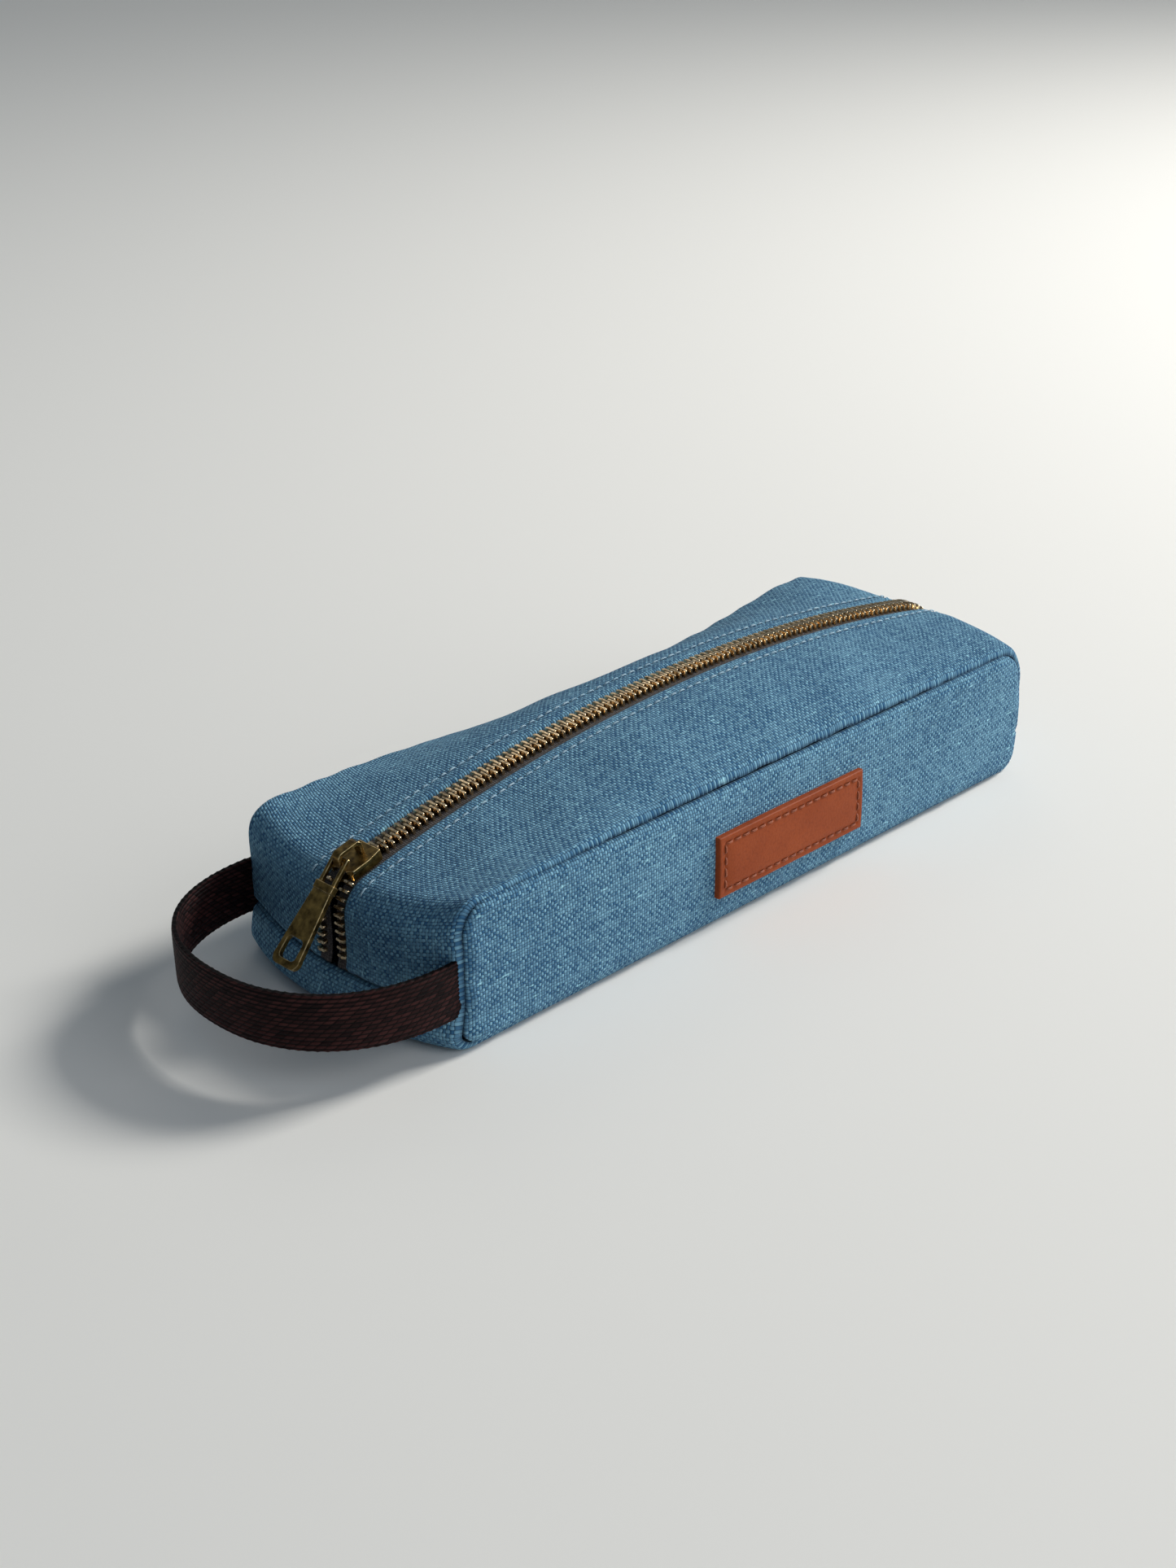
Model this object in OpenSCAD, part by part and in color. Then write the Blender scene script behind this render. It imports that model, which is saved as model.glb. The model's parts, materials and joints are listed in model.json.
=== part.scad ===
// Zipped canvas pencil case with a webbing wrist loop.
// +X runs along the case, away from the wrist loop. The label is on the -Y side.
// The case stands on z = 0, and its middle is over the origin.

/* [Case] */
// Length of the side panels
body_l = 210; // [180:1:230]
// Width over the side panels
body_w = 79; // [72:1:90]
// Height of the side seams
seam_h = 38.5; // [34:0.5:42]
// Height of the top at its highest point
crown_h = 49.5; // [46:0.5:54]
// Thickness of the canvas with its lining
canvas_t = 1.2; // [0.8:0.1:1.6]
// How far each end swells past its seam
end_swell = 6; // [4:0.5:8]

/* [Top] */
// Radius of the long arch that the zip runs along
arch_r = 460; // [430:5:500]
// Place of the arch's highest point
crown_x = 15; // [8:1:18]
// Radius of the front corner of the arch
nose_r = 9; // [7:0.5:10]
// Radius of the rear corner of the arch
tail_r = 12; // [10:0.5:13]
// Height of the seams between the zip and the bottom panel
cross_seam_z = 11.2; // [8:0.2:13]

/* [Zip] */
// Gap between the folded canvas edges
zip_gap = 10; // [10:0.2:12]
// Distance between two teeth of one side
tooth_pitch = 2.1; // [2:0.1:2.4]
// Width of the meshed teeth
chain_w = 5.8; // [5:0.1:6]
// Length of the slider
slider_l = 10; // [8:0.5:10]
// Length of the pull from its pin to its tip
pull_l = 28; // [22:1:30]

/* [Wrist loop] */
// Width of the webbing
strap_w = 14.7; // [12:0.1:18]
// Thickness of the webbing
strap_t = 1.6; // [1.2:0.1:2]
// Height of the middle of the webbing
strap_z = 17; // [15:0.5:20]

/* [Label] */
// Length of the leather label
label_l = 55; // [40:1:70]
// Height of the leather label
label_h = 16.8; // [12:0.2:20]
// Thickness of the leather label
label_t = 1.8; // [1:0.1:2.5]

/* [Hidden] */

// The side plates take the last canvas_t of the width on each side.
half_w = body_w/2 - canvas_t;
end_x = body_l/2 + end_swell;
foot_r = 5;
side_corner_r = 8;
seam_gap = 0.3;
far = 400;

// Arch, nose and tail arcs, tangent to each other, by the centre of each.
arch_z = crown_h - arch_r;
nose_x = -end_x + nose_r;
tail_x = end_x - tail_r;
nose_z = arch_z + sqrt(pow(arch_r - nose_r, 2) - pow(crown_x - nose_x, 2));
tail_z = arch_z + sqrt(pow(arch_r - tail_r, 2) - pow(tail_x - crown_x, 2));
nose_a = asin((crown_x - nose_x)/(arch_r - nose_r));
tail_a = asin((tail_x - crown_x)/(arch_r - tail_r));
crown_r = (pow(body_w/2, 2) + pow(crown_h - seam_h, 2))/(2*(crown_h - seam_h));
swell_r = (pow(body_w/2, 2) + pow(end_swell, 2))/(2*end_swell);

// Distances along the zip are counted from the arch's top, positive to the front.
mm_per_deg = PI/180;
nose_start = arch_r*nose_a*mm_per_deg;
tail_start = arch_r*tail_a*mm_per_deg;
nose_arc = nose_r*(90 - nose_a)*mm_per_deg;
tail_arc = tail_r*(90 - tail_a)*mm_per_deg;
nose_end = nose_start + nose_arc + nose_z - cross_seam_z;
tail_end = tail_start + tail_arc + tail_z - cross_seam_z;

// The lips are the stretch of the top that opens.
lip_front_x = -84;
lip_back_x = 86;

// Depths below the canvas's outer face, so a negative one stands proud.
tape_top = canvas_t;
tape_t = 0.6;
tape_in = 1.2;
tape_out = 11;
tooth_top = -0.8;
tooth_w = 0.9;
tooth_reach = 0.8;
plate_t = 1;
channel_top = -1.1;
channel_bottom = 2.4;
slider_w = 9;
slider_tail_w = 7.4;
flange_t = 0.8;
slider_s = nose_start - 2.5;
bridge_t = 0.9;
bridge_w = 2.6;
bridge_h = 3.8;
bridge_l = 7.4;
bridge_x = -1.4;
pin_x = -3.5;
pin_h = 1.7;
pin_d = 1.1;
pull_hang = 132;
pull_t = 1.4;
arm_t = 1.1;
collar_t = 1.8;
last_tooth_s = -(tail_end - 1.5);

strap_x = -107;
strap_flex_x = -113;
strap_tuck = 6;
strap_play = 0.02;

label_x = 4.5;
label_z = 17.4;
stitch_pitch = 3.2;
stitch_l = 2.3;
stitch_w = 0.6;
stitch_h = 0.35;
stitch_lift = 0.02;
topstitch_y = 9;
label_inset = 2;
binding_w = 4;
binding_t = 0.8;
binding_gap = 0.35;

function zip_angle(s) =
    s > nose_start ? min(90, nose_a + (s - nose_start)/nose_r/mm_per_deg) :
    s < -tail_start ? -min(90, tail_a + (-s - tail_start)/tail_r/mm_per_deg) :
    s/arch_r/mm_per_deg;
function zip_centre(s) =
    s > nose_start ? [nose_x, nose_z - max(0, s - nose_start - nose_arc)] :
    s < -tail_start ? [tail_x, tail_z - max(0, -s - tail_start - tail_arc)] :
    [crown_x, arch_z];
function zip_radius(s) = s > nose_start ? nose_r : s < -tail_start ? tail_r : arch_r;

// Places children on the zip's line at distance s and the given depth.
// Their +x points to the tail, and their +z points out of the case.
module on_zip(s, depth = 0) {
    a = zip_angle(s);
    c = zip_centre(s);
    r = zip_radius(s) - depth;
    translate([c[0] - r*sin(a), 0, c[1] + r*cos(a)]) rotate([0, -a, 0]) children();
}

// The same at a sideways place, where the crown may be lower than the arch.
module on_top(s, y) {
    arch_top = arch_z + arch_r*cos(zip_angle(s));
    crown_top = crown_h - crown_r + sqrt(crown_r*crown_r - y*y);
    translate([0, y, 0]) on_zip(s, max(0, arch_top - crown_top)) children();
}

module box2(x0, y0, x1, y1) {
    translate([x0, y0]) square([x1 - x0, y1 - y0]);
}

module disc2(x, y, r) {
    translate([x, y]) circle(r = r, $fn = 96);
}

module round_box2(x0, y0, x1, y1, r) {
    box2(x0 + r, y0, x1 - r, y1);
    box2(x0, y0 + r, x1, y1 - r);
    for (x = [x0 + r, x1 - r]) for (y = [y0 + r, y1 - r]) disc2(x, y, r);
}

// Outline of the case from the side, with x along the case and y up.
module side_outline(inset) {
    intersection() {
        disc2(crown_x, arch_z, arch_r - inset);
        box2(nose_x - (nose_r - inset)*sin(nose_a), foot_r,
             tail_x + (tail_r - inset)*sin(tail_a), 60);
    }
    box2(-end_x + foot_r, inset, end_x - foot_r, nose_z);
    box2(-end_x + inset, foot_r, 0, nose_z);
    box2(0, foot_r, end_x - inset, tail_z);
    disc2(nose_x, nose_z, nose_r - inset);
    disc2(tail_x, tail_z, tail_r - inset);
    for (side = [-1, 1]) disc2(side*(end_x - foot_r), foot_r, foot_r - inset);
}

// Outline across the case, with x across it and y up.
module cross_outline(inset) {
    intersection() {
        disc2(0, crown_h - crown_r, crown_r - inset);
        box2(-half_w, inset, half_w, 60);
    }
}

// Outline from above, with swelled ends.
module plan_outline(inset) {
    intersection() {
        box2(-far, -half_w, far, half_w);
        disc2(-end_x + swell_r, 0, swell_r - inset);
        disc2(end_x - swell_r, 0, swell_r - inset);
    }
}

// The closed form between the side panels, drawn in by inset.
module form(inset) {
    intersection() {
        translate([0, half_w + 1, 0]) rotate([90, 0, 0])
            linear_extrude(2*half_w + 2) side_outline(inset);
        translate([-far/2, 0, 0]) rotate([90, 0, 90])
            linear_extrude(far) cross_outline(inset);
        translate([0, 0, -1]) linear_extrude(far/4) plan_outline(inset);
    }
}

module layer(depth, thick) {
    difference() {
        form(depth);
        form(depth + thick);
    }
}

module block(x0, x1, y0, y1, z0, z1) {
    translate([x0, y0, z0]) cube([x1 - x0, y1 - y0, z1 - z0]);
}

// The slots that the webbing's ends pass through in the front seams.
module strap_tuck_cutter() {
    slot_h = strap_w + 2*strap_play;
    slot_t = strap_t + strap_play;
    for (side = [-1, 1])
        block(strap_flex_x, -body_l/2 + strap_tuck + strap_play,
              side > 0 ? half_w - slot_t : -half_w, side > 0 ? half_w : -half_w + slot_t,
              strap_z - slot_h/2, strap_z + slot_h/2);
}

module side_panel(side) {
    translate([0, side*half_w + (side > 0 ? canvas_t : 0), 0]) rotate([90, 0, 0])
        linear_extrude(canvas_t) {
            box2(-body_l/2 + foot_r, 0, body_l/2 - foot_r, seam_h - side_corner_r);
            box2(-body_l/2, foot_r, body_l/2, seam_h - side_corner_r);
            for (x = [-1, 1]) {
                disc2(x*(body_l/2 - foot_r), foot_r, foot_r);
                disc2(x*(body_l/2 - side_corner_r), seam_h - side_corner_r, side_corner_r);
            }
            box2(-body_l/2 + side_corner_r, foot_r, body_l/2 - side_corner_r, seam_h);
        }
}

module bottom_panel() {
    color("#5f87a8") difference() {
        intersection() {
            layer(0, canvas_t);
            block(-far, far, -far, far, -1, cross_seam_z);
        }
        strap_tuck_cutter();
    }
}

// One side of the top canvas between two places along the case.
module top_canvas(side, x0, x1) {
    y0 = side > 0 ? zip_gap/2 : -half_w + seam_gap;
    y1 = side > 0 ? half_w - seam_gap : -zip_gap/2;
    difference() {
        intersection() {
            layer(0, canvas_t);
            block(x0, x1, y0, y1, cross_seam_z, far);
        }
        strap_tuck_cutter();
    }
}

module zip_tape(side, x0, x1) {
    y0 = side > 0 ? tape_in : -tape_out;
    intersection() {
        layer(tape_top, tape_t);
        block(x0, x1, y0, y0 + tape_out - tape_in, cross_seam_z, far);
    }
}

// One tooth on its tape, reaching over the middle line by reach.
module tooth(side, s, reach) {
    on_zip(s) translate([-tooth_w/2, side > 0 ? -reach : -chain_w/2, -tape_top])
        cube([tooth_w, chain_w/2 + reach, tape_top - tooth_top]);
}

module teeth(side, s0, s1, reach = tooth_reach) {
    start = ceil(s0/tooth_pitch);
    stop = floor(s1/tooth_pitch);
    for (i = [start : stop]) {
        s = (i + (side > 0 ? 0.25 : -0.25))*tooth_pitch;
        if (s > s0 && s < s1) tooth(side, s, reach);
    }
}

function arch_s(x) = arch_r*asin((crown_x - x)/arch_r)*mm_per_deg;

module lip_teeth(side) {
    teeth(side, arch_s(lip_back_x) + tooth_w, arch_s(lip_front_x) - tooth_w);
}

module zip_tape_ends() {
    color("#43383a") for (side = [-1, 1]) {
        zip_tape(side, -far, lip_front_x - seam_gap);
        zip_tape(side, lip_back_x + seam_gap, far);
    }
}

module zip_teeth_ends() {
    color("#8f7440") for (side = [-1, 1]) {
        teeth(side, arch_s(lip_front_x) + tooth_w, slider_s - slider_l/2 - 0.6);
        teeth(side, last_tooth_s, arch_s(lip_back_x) - tooth_w);
        translate([0, side*1.9, 0])
            teeth(side, slider_s + slider_l/2 + 1.2, nose_end - 1.5, 0);
    }
}

// Plan of the slider's plates, wide at the front where the teeth enter.
module slider_plan() {
    polygon([
        [-slider_l/2 + 1, -slider_w/2], [1, -slider_w/2], [slider_l/2, -slider_tail_w/2],
        [slider_l/2, slider_tail_w/2], [1, slider_w/2], [-slider_l/2 + 1, slider_w/2],
        [-slider_l/2, slider_w/2 - 1.6], [-slider_l/2 + 1.2, 0], [-slider_l/2, -slider_w/2 + 1.6]
    ]);
}

module slider_body() {
    color("#8f7440") on_zip(slider_s) {
        translate([0, 0, -channel_top]) linear_extrude(plate_t) slider_plan();
        translate([0, 0, -channel_bottom - plate_t]) linear_extrude(plate_t) slider_plan();
        intersection() {
            translate([0, 0, -tape_top + 0.3])
                linear_extrude(tape_top - channel_top - 0.3) slider_plan();
            for (side = [-1, 1])
                translate([-slider_l/2, side*(slider_tail_w/2 + 0.05) - flange_t/2, -3])
                    cube([slider_l, flange_t, 6]);
        }
        translate([-slider_l/2 + 2.6, 0, -channel_bottom])
            cylinder(h = channel_bottom - channel_top, d = 1.8, $fn = 32);
    }
}

module bridge_outline(inset) {
    w = bridge_l/2 - inset;
    r = 1.6 - inset/2;
    box2(-w, inset > 0 ? -1 : 0, w, bridge_h - inset - r);
    box2(-w + r, 0, w - r, bridge_h - inset);
    for (side = [-1, 1]) disc2(side*(w - r), bridge_h - inset - r, r);
}

module slider_bridge() {
    color("#8f7440") on_zip(slider_s, channel_top - plate_t)
        translate([bridge_x, bridge_w/2, 0]) rotate([90, 0, 0])
            linear_extrude(bridge_w) difference() {
                bridge_outline(0);
                bridge_outline(bridge_t);
            }
}

// Places children on the pull's pin, with their +x along the pull.
module on_pin() {
    on_zip(slider_s, channel_top - plate_t) translate([pin_x, 0, pin_h])
        rotate([0, zip_angle(slider_s) + pull_hang, 0]) children();
}

module pull_loop() {
    arm_l = 7;
    arm_y = bridge_w/2 + 0.5;
    color("#8f7440") on_pin() {
        rotate([90, 0, 0]) cylinder(h = 2*arm_y, d = pin_d, center = true, $fn = 32);
        for (side = [-1, 1])
            translate([0, side*(arm_y + 0.5), 0]) {
                rotate([90, 0, 0]) cylinder(h = 1, d = arm_t, center = true, $fn = 32);
                translate([0, -0.5, -arm_t/2]) cube([arm_l, 1, arm_t]);
            }
        translate([arm_l - 0.4, -arm_y - 1.4, -collar_t/2]) cube([2, 2*arm_y + 2.8, collar_t]);
    }
}

module pull_tab() {
    root_x = 8.6;
    tip_r = 2;
    tip_w = 9;
    root_w = 6;
    hole_w = 5.6;
    color("#8f7440") on_pin() translate([0, 0, -pull_t/2]) linear_extrude(pull_t)
        difference() {
            union() {
                polygon([
                    [root_x, -root_w/2], [pull_l - tip_r, -tip_w/2],
                    [pull_l - tip_r, tip_w/2], [root_x, root_w/2]
                ]);
                box2(pull_l - tip_r - 0.1, -tip_w/2 + tip_r, pull_l, tip_w/2 - tip_r);
                for (side = [-1, 1]) disc2(pull_l - tip_r, side*(tip_w/2 - tip_r), tip_r);
            }
            round_box2(pull_l - 7.2, -hole_w/2, pull_l - 1.8, hole_w/2, 1.2);
        }
}

// The webbing outside the seams: a half ring with a short straight run to each seam.
module strap_band() {
    translate([0, 0, strap_z - strap_w/2]) linear_extrude(strap_w)
        difference() {
            union() {
                intersection() {
                    disc2(strap_x, 0, half_w);
                    box2(-far, -far, strap_x, far);
                }
                box2(strap_x, -half_w, -body_l/2 + strap_tuck, half_w);
            }
            disc2(strap_x, 0, half_w - strap_t);
            box2(strap_x, -half_w + strap_t, far, half_w - strap_t);
        }
}

module wrist_loop() {
    color("#33201f") intersection() {
        strap_band();
        block(-far, strap_flex_x - 0.05, -far, far, 0, far);
    }
}

module wrist_loop_ends() {
    color("#33201f") intersection() {
        strap_band();
        block(strap_flex_x, far, -far, far, 0, far);
    }
}

module label_plate(inset, thick) {
    l = label_l/2 - inset;
    h = label_h/2 - inset;
    translate([label_x, -body_w/2, label_z]) rotate([90, 0, 0]) linear_extrude(thick)
        round_box2(-l, -h, l, h, 1.2);
}

module label_stitching() {
    l = label_l/2 - label_inset;
    h = label_h/2 - label_inset;
    n_l = floor(2*l/stitch_pitch);
    n_h = floor(2*h/stitch_pitch);
    color("#8f4526") translate([label_x, -body_w/2 - label_t - stitch_h/2, label_z]) {
        for (side = [-1, 1]) for (i = [0 : n_l - 1])
            translate([(i + 0.5)*2*l/n_l - l, 0, side*h])
                cube([stitch_l, stitch_h, stitch_w], center = true);
        for (side = [-1, 1]) for (i = [0 : n_h - 1])
            translate([side*l, 0, (i + 0.5)*2*h/n_h - h])
                cube([stitch_w, stitch_h, stitch_l], center = true);
    }
}

module topstitch(side, s0, s1) {
    for (i = [ceil(s0/stitch_pitch) : floor(s1/stitch_pitch)])
        on_top(i*stitch_pitch, side*topstitch_y)
            translate([-stitch_l/2, -stitch_w/2, stitch_lift]) cube([stitch_l, stitch_w, stitch_h]);
}

module topstitch_ends() {
    color("#b9cfdf") for (side = [-1, 1]) {
        topstitch(side, arch_s(lip_front_x) + stitch_l, nose_start);
        topstitch(side, -tail_start, arch_s(lip_back_x) - stitch_l);
    }
}

module lip_topstitch(side) {
    topstitch(side, arch_s(lip_back_x) + stitch_l, arch_s(lip_front_x) - stitch_l);
}

// Bias tape over the raw edges inside a side seam.
module seam_binding(side) {
    y0 = side > 0 ? half_w - binding_w : -half_w;
    color("#3c566c") difference() {
        intersection() {
            layer(canvas_t + binding_gap, binding_t);
            block(-far, far, y0, y0 + binding_w, -1, far);
        }
        strap_tuck_cutter();
    }
}

color("#6f99bb") side_panel(-1);  // side_panel_near
color("#6f99bb") side_panel(1);  // side_panel_far
bottom_panel();
color("#6f99bb") top_canvas(-1, -far, lip_front_x - seam_gap);  // nose_panel_near
color("#6f99bb") top_canvas(1, -far, lip_front_x - seam_gap);  // nose_panel_far
color("#6f99bb") top_canvas(-1, lip_back_x + seam_gap, far);  // tail_panel_near
color("#6f99bb") top_canvas(1, lip_back_x + seam_gap, far);  // tail_panel_far
color("#7aa3c4") top_canvas(-1, lip_front_x, lip_back_x);  // top_panel_near
color("#7aa3c4") top_canvas(1, lip_front_x, lip_back_x);  // top_panel_far
color("#43383a") zip_tape(-1, lip_front_x, lip_back_x);  // zip_tape_near
color("#43383a") zip_tape(1, lip_front_x, lip_back_x);  // zip_tape_far
color("#8f7440") lip_teeth(-1);  // zip_teeth_near
color("#8f7440") lip_teeth(1);  // zip_teeth_far
zip_tape_ends();
zip_teeth_ends();
slider_body();
slider_bridge();
pull_loop();
pull_tab();
wrist_loop();
wrist_loop_ends();
color("#a85a35") label_plate(0, label_t);  // leather_label
label_stitching();
color("#b9cfdf") lip_topstitch(-1);  // topstitch_near
color("#b9cfdf") lip_topstitch(1);  // topstitch_far
topstitch_ends();
seam_binding(-1);  // seam_binding_near
seam_binding(1);  // seam_binding_far
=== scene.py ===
"""Zipped canvas pencil case with a webbing wrist loop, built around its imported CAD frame."""

import json
import logging
import math
from dataclasses import dataclass, field
from enum import Enum
from typing import Callable, ClassVar, Iterable, Sequence

import bmesh
import bpy
import numpy as np
from mathutils import Matrix, Vector


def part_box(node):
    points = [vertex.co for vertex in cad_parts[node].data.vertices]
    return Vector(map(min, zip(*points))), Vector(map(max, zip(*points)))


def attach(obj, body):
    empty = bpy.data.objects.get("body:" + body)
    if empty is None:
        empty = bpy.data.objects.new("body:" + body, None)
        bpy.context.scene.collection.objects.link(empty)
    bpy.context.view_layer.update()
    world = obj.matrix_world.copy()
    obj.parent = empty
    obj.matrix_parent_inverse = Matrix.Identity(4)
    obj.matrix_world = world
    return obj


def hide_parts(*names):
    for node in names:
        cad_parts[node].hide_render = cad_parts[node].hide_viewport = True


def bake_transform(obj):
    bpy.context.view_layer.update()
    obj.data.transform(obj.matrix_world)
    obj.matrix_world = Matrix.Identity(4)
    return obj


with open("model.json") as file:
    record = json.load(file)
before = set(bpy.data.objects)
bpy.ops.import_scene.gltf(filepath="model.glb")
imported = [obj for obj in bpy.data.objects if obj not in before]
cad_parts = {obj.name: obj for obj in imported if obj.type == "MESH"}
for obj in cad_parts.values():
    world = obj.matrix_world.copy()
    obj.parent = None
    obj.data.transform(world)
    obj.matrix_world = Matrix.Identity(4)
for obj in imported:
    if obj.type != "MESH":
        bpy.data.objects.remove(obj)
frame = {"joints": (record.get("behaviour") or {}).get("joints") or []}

LOG = logging.getLogger("pencil_case")
MM = 0.001
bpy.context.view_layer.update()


class Side(Enum):
    """The two long sides of the case. The label is on the near one."""

    NEAR = -1
    FAR = 1

    @property
    def word(self) -> str:
        """The side's word in node and piece names."""
        return self.name.lower()


class End(Enum):
    """The two ends of the case. The wrist loop is on the front one."""

    FRONT = 1
    BACK = -1

    @property
    def word(self) -> str:
        """The end's word in piece names."""
        return self.name.lower()


# ---------------------------------------------------------------- shader building


class NodeTree:
    """Short calls for adding nodes to a shader or geometry tree."""

    def __init__(self, tree: bpy.types.NodeTree) -> None:
        """Keeps the tree that the nodes go into."""
        self.tree = tree

    def add(self, kind: str, inputs: dict | None = None, **settings: object) -> bpy.types.Node:
        """Adds one node.

        Args:
            kind: The node's Blender type name.
            inputs: Socket name or index, to a value or to another node's output.
            **settings: Properties set on the node before its inputs.

        Returns:
            The new node.
        """
        made = self.tree.nodes.new(kind)
        for name, value in settings.items():
            setattr(made, name, value)
        for key, value in (inputs or {}).items():
            if isinstance(value, bpy.types.NodeSocket):
                self.tree.links.new(value, made.inputs[key])
            else:
                made.inputs[key].default_value = value
        return made

    def math(self, operation: str, *values: object) -> bpy.types.NodeSocket:
        """Adds a Math node and returns its output."""
        made = self.add("ShaderNodeMath", dict(enumerate(values)), operation=operation)
        return made.outputs[0]

    def mix(self, factor: object, low: object, high: object) -> bpy.types.NodeSocket:
        """Adds a colour Mix node and returns its output."""
        made = self.add("ShaderNodeMix", {0: factor, 6: low, 7: high}, data_type="RGBA")
        return made.outputs[2]

    def ramp(self, value: object, low: float, high: float) -> bpy.types.NodeSocket:
        """Adds a clamped Map Range from low..high to 0..1 and returns its output."""
        made = self.add("ShaderNodeMapRange", {0: value, 1: low, 2: high})
        return made.outputs[0]


def shader_group(name: str, inputs: Sequence[tuple], outputs: Sequence[tuple]) -> tuple:
    """Starts a shader node group with named sockets.

    Args:
        name: The group's name.
        inputs: (name, socket type, default) for each input.
        outputs: (name, socket type) for each output.

    Returns:
        The group, its NodeTree, its input node's outputs and its output node.
    """
    group = bpy.data.node_groups.new(name, "ShaderNodeTree")
    for label, kind, default in inputs:
        socket = group.interface.new_socket(label, in_out="INPUT", socket_type=kind)
        if default is not None:
            socket.default_value = default
    for label, kind in outputs:
        group.interface.new_socket(label, in_out="OUTPUT", socket_type=kind)
    tree = NodeTree(group)
    return group, tree, tree.add("NodeGroupInput").outputs, tree.add("NodeGroupOutput")


def plain_weave_group() -> bpy.types.NodeTree:
    """Makes the group for a one-over, one-under weave with uneven yarns.

    Returns:
        A group that turns cloth coordinates into a height, a yarn tone and a hollow mask, used for
        painted shade between the yarns.
    """
    wander_rate, wander_reach = 0.23, 2.4
    roundness, bow_power, bow_depth = 2.2, 2.0, 0.55
    cell_share, yarn_share, slub_share = 0.58, 0.24, 0.18
    slub_stretch, weft_offset = (0.35, 0.8, 1.0), 517.0
    least_lift, more_lift, hollow_below = 0.75, 0.25, 0.50
    group, t, given, out = shader_group(
        "plain_weave",
        [("Coordinates", "NodeSocketVector", None), ("Pitch", "NodeSocketFloat", 1.0 * MM),
         ("Unevenness", "NodeSocketFloat", 0.3), ("Contrast", "NodeSocketFloat", 0.0)],
        [("Height", "NodeSocketFloat"), ("Tone", "NodeSocketFloat"), ("Hollow", "NodeSocketFloat")],
    )
    pitch3 = t.add("ShaderNodeCombineXYZ", {0: given[1], 1: given[1], 2: given[1]})
    scaled = t.add("ShaderNodeVectorMath", {0: given[0], 1: pitch3.outputs[0]}, operation="DIVIDE")
    wander = t.add("ShaderNodeTexNoise", {"Vector": scaled.outputs[0], "Scale": wander_rate,
                                          "Detail": 2.0})
    centred = t.add("ShaderNodeVectorMath", {0: wander.outputs["Color"], 1: (0.5, 0.5, 0.5)},
                    operation="SUBTRACT")
    push = t.add("ShaderNodeVectorMath",
                 {0: centred.outputs[0], "Scale": t.math("MULTIPLY", given[2], wander_reach)},
                 operation="SCALE")
    moved = t.add("ShaderNodeVectorMath", {0: scaled.outputs[0], 1: push.outputs[0]},
                  operation="ADD")
    axes = t.add("ShaderNodeSeparateXYZ", {0: moved.outputs[0]})
    u, v = axes.outputs[0], axes.outputs[1]
    cell_u, cell_v = t.math("FLOOR", u), t.math("FLOOR", v)
    odd = t.math("FLOORED_MODULO", t.math("ADD", cell_u, cell_v), 2.0)

    def from_middle(value: bpy.types.NodeSocket) -> bpy.types.NodeSocket:
        """Distance from a cell's middle, 0 at the middle and 1 at its edge."""
        doubled = t.math("MULTIPLY", t.math("FRACT", value), 2.0)
        return t.math("ABSOLUTE", t.math("SUBTRACT", doubled, 1.0))

    def yarn_top(across: bpy.types.NodeSocket, along: bpy.types.NodeSocket) -> bpy.types.NodeSocket:
        """Height of the yarn that lies on top: round across, gently bowed along."""
        section = t.math("SUBTRACT", 1.0, t.math("POWER", across, roundness))
        dip = t.math("MULTIPLY", t.math("POWER", along, bow_power), bow_depth)
        return t.math("MULTIPLY", section, t.math("SUBTRACT", 1.0, dip))

    off_u, off_v = from_middle(u), from_middle(v)
    warp, weft = yarn_top(off_u, off_v), yarn_top(off_v, off_u)
    over = t.add("ShaderNodeMix", {0: odd, 2: warp, 3: weft}, data_type="FLOAT").outputs[0]
    cell = t.add("ShaderNodeCombineXYZ", {0: cell_u, 1: cell_v})
    per_cell = t.add("ShaderNodeTexWhiteNoise", {"Vector": cell.outputs[0]}, noise_dimensions="2D")
    per_warp = t.add("ShaderNodeTexWhiteNoise", {"W": cell_u}, noise_dimensions="1D")
    per_weft = t.add("ShaderNodeTexWhiteNoise", {"W": t.math("ADD", cell_v, weft_offset)},
                     noise_dimensions="1D")
    yarn = t.add("ShaderNodeMix", {0: odd, 2: per_warp.outputs[0], 3: per_weft.outputs[0]},
                 data_type="FLOAT").outputs[0]
    stretched = t.add("ShaderNodeVectorMath", {0: moved.outputs[0], 1: slub_stretch},
                      operation="MULTIPLY")
    slub = t.add("ShaderNodeTexNoise", {"Vector": stretched.outputs[0], "Scale": 1.0,
                                        "Detail": 1.0})
    tone = t.math("ADD", t.math("MULTIPLY", per_cell.outputs[0], cell_share),
                  t.math("MULTIPLY", yarn, yarn_share))
    tone = t.math("ADD", tone, t.math("MULTIPLY", slub.outputs[0], slub_share))
    paler_warp = t.math("MULTIPLY", t.math("SUBTRACT", 0.5, odd), given[3])
    tone = t.math("ADD", tone, paler_warp)
    lift = t.math("ADD", least_lift, t.math("MULTIPLY", per_cell.outputs[0], more_lift))
    # Hollow mask: where the yarns dip, darkened later as painted shade.
    hollow = t.math("SUBTRACT", 1.0, t.ramp(over, 0.0, hollow_below))
    t.tree.links.new(t.math("MULTIPLY", over, lift), out.inputs["Height"])
    t.tree.links.new(tone, out.inputs["Tone"])
    t.tree.links.new(hollow, out.inputs["Hollow"])
    return group


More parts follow.
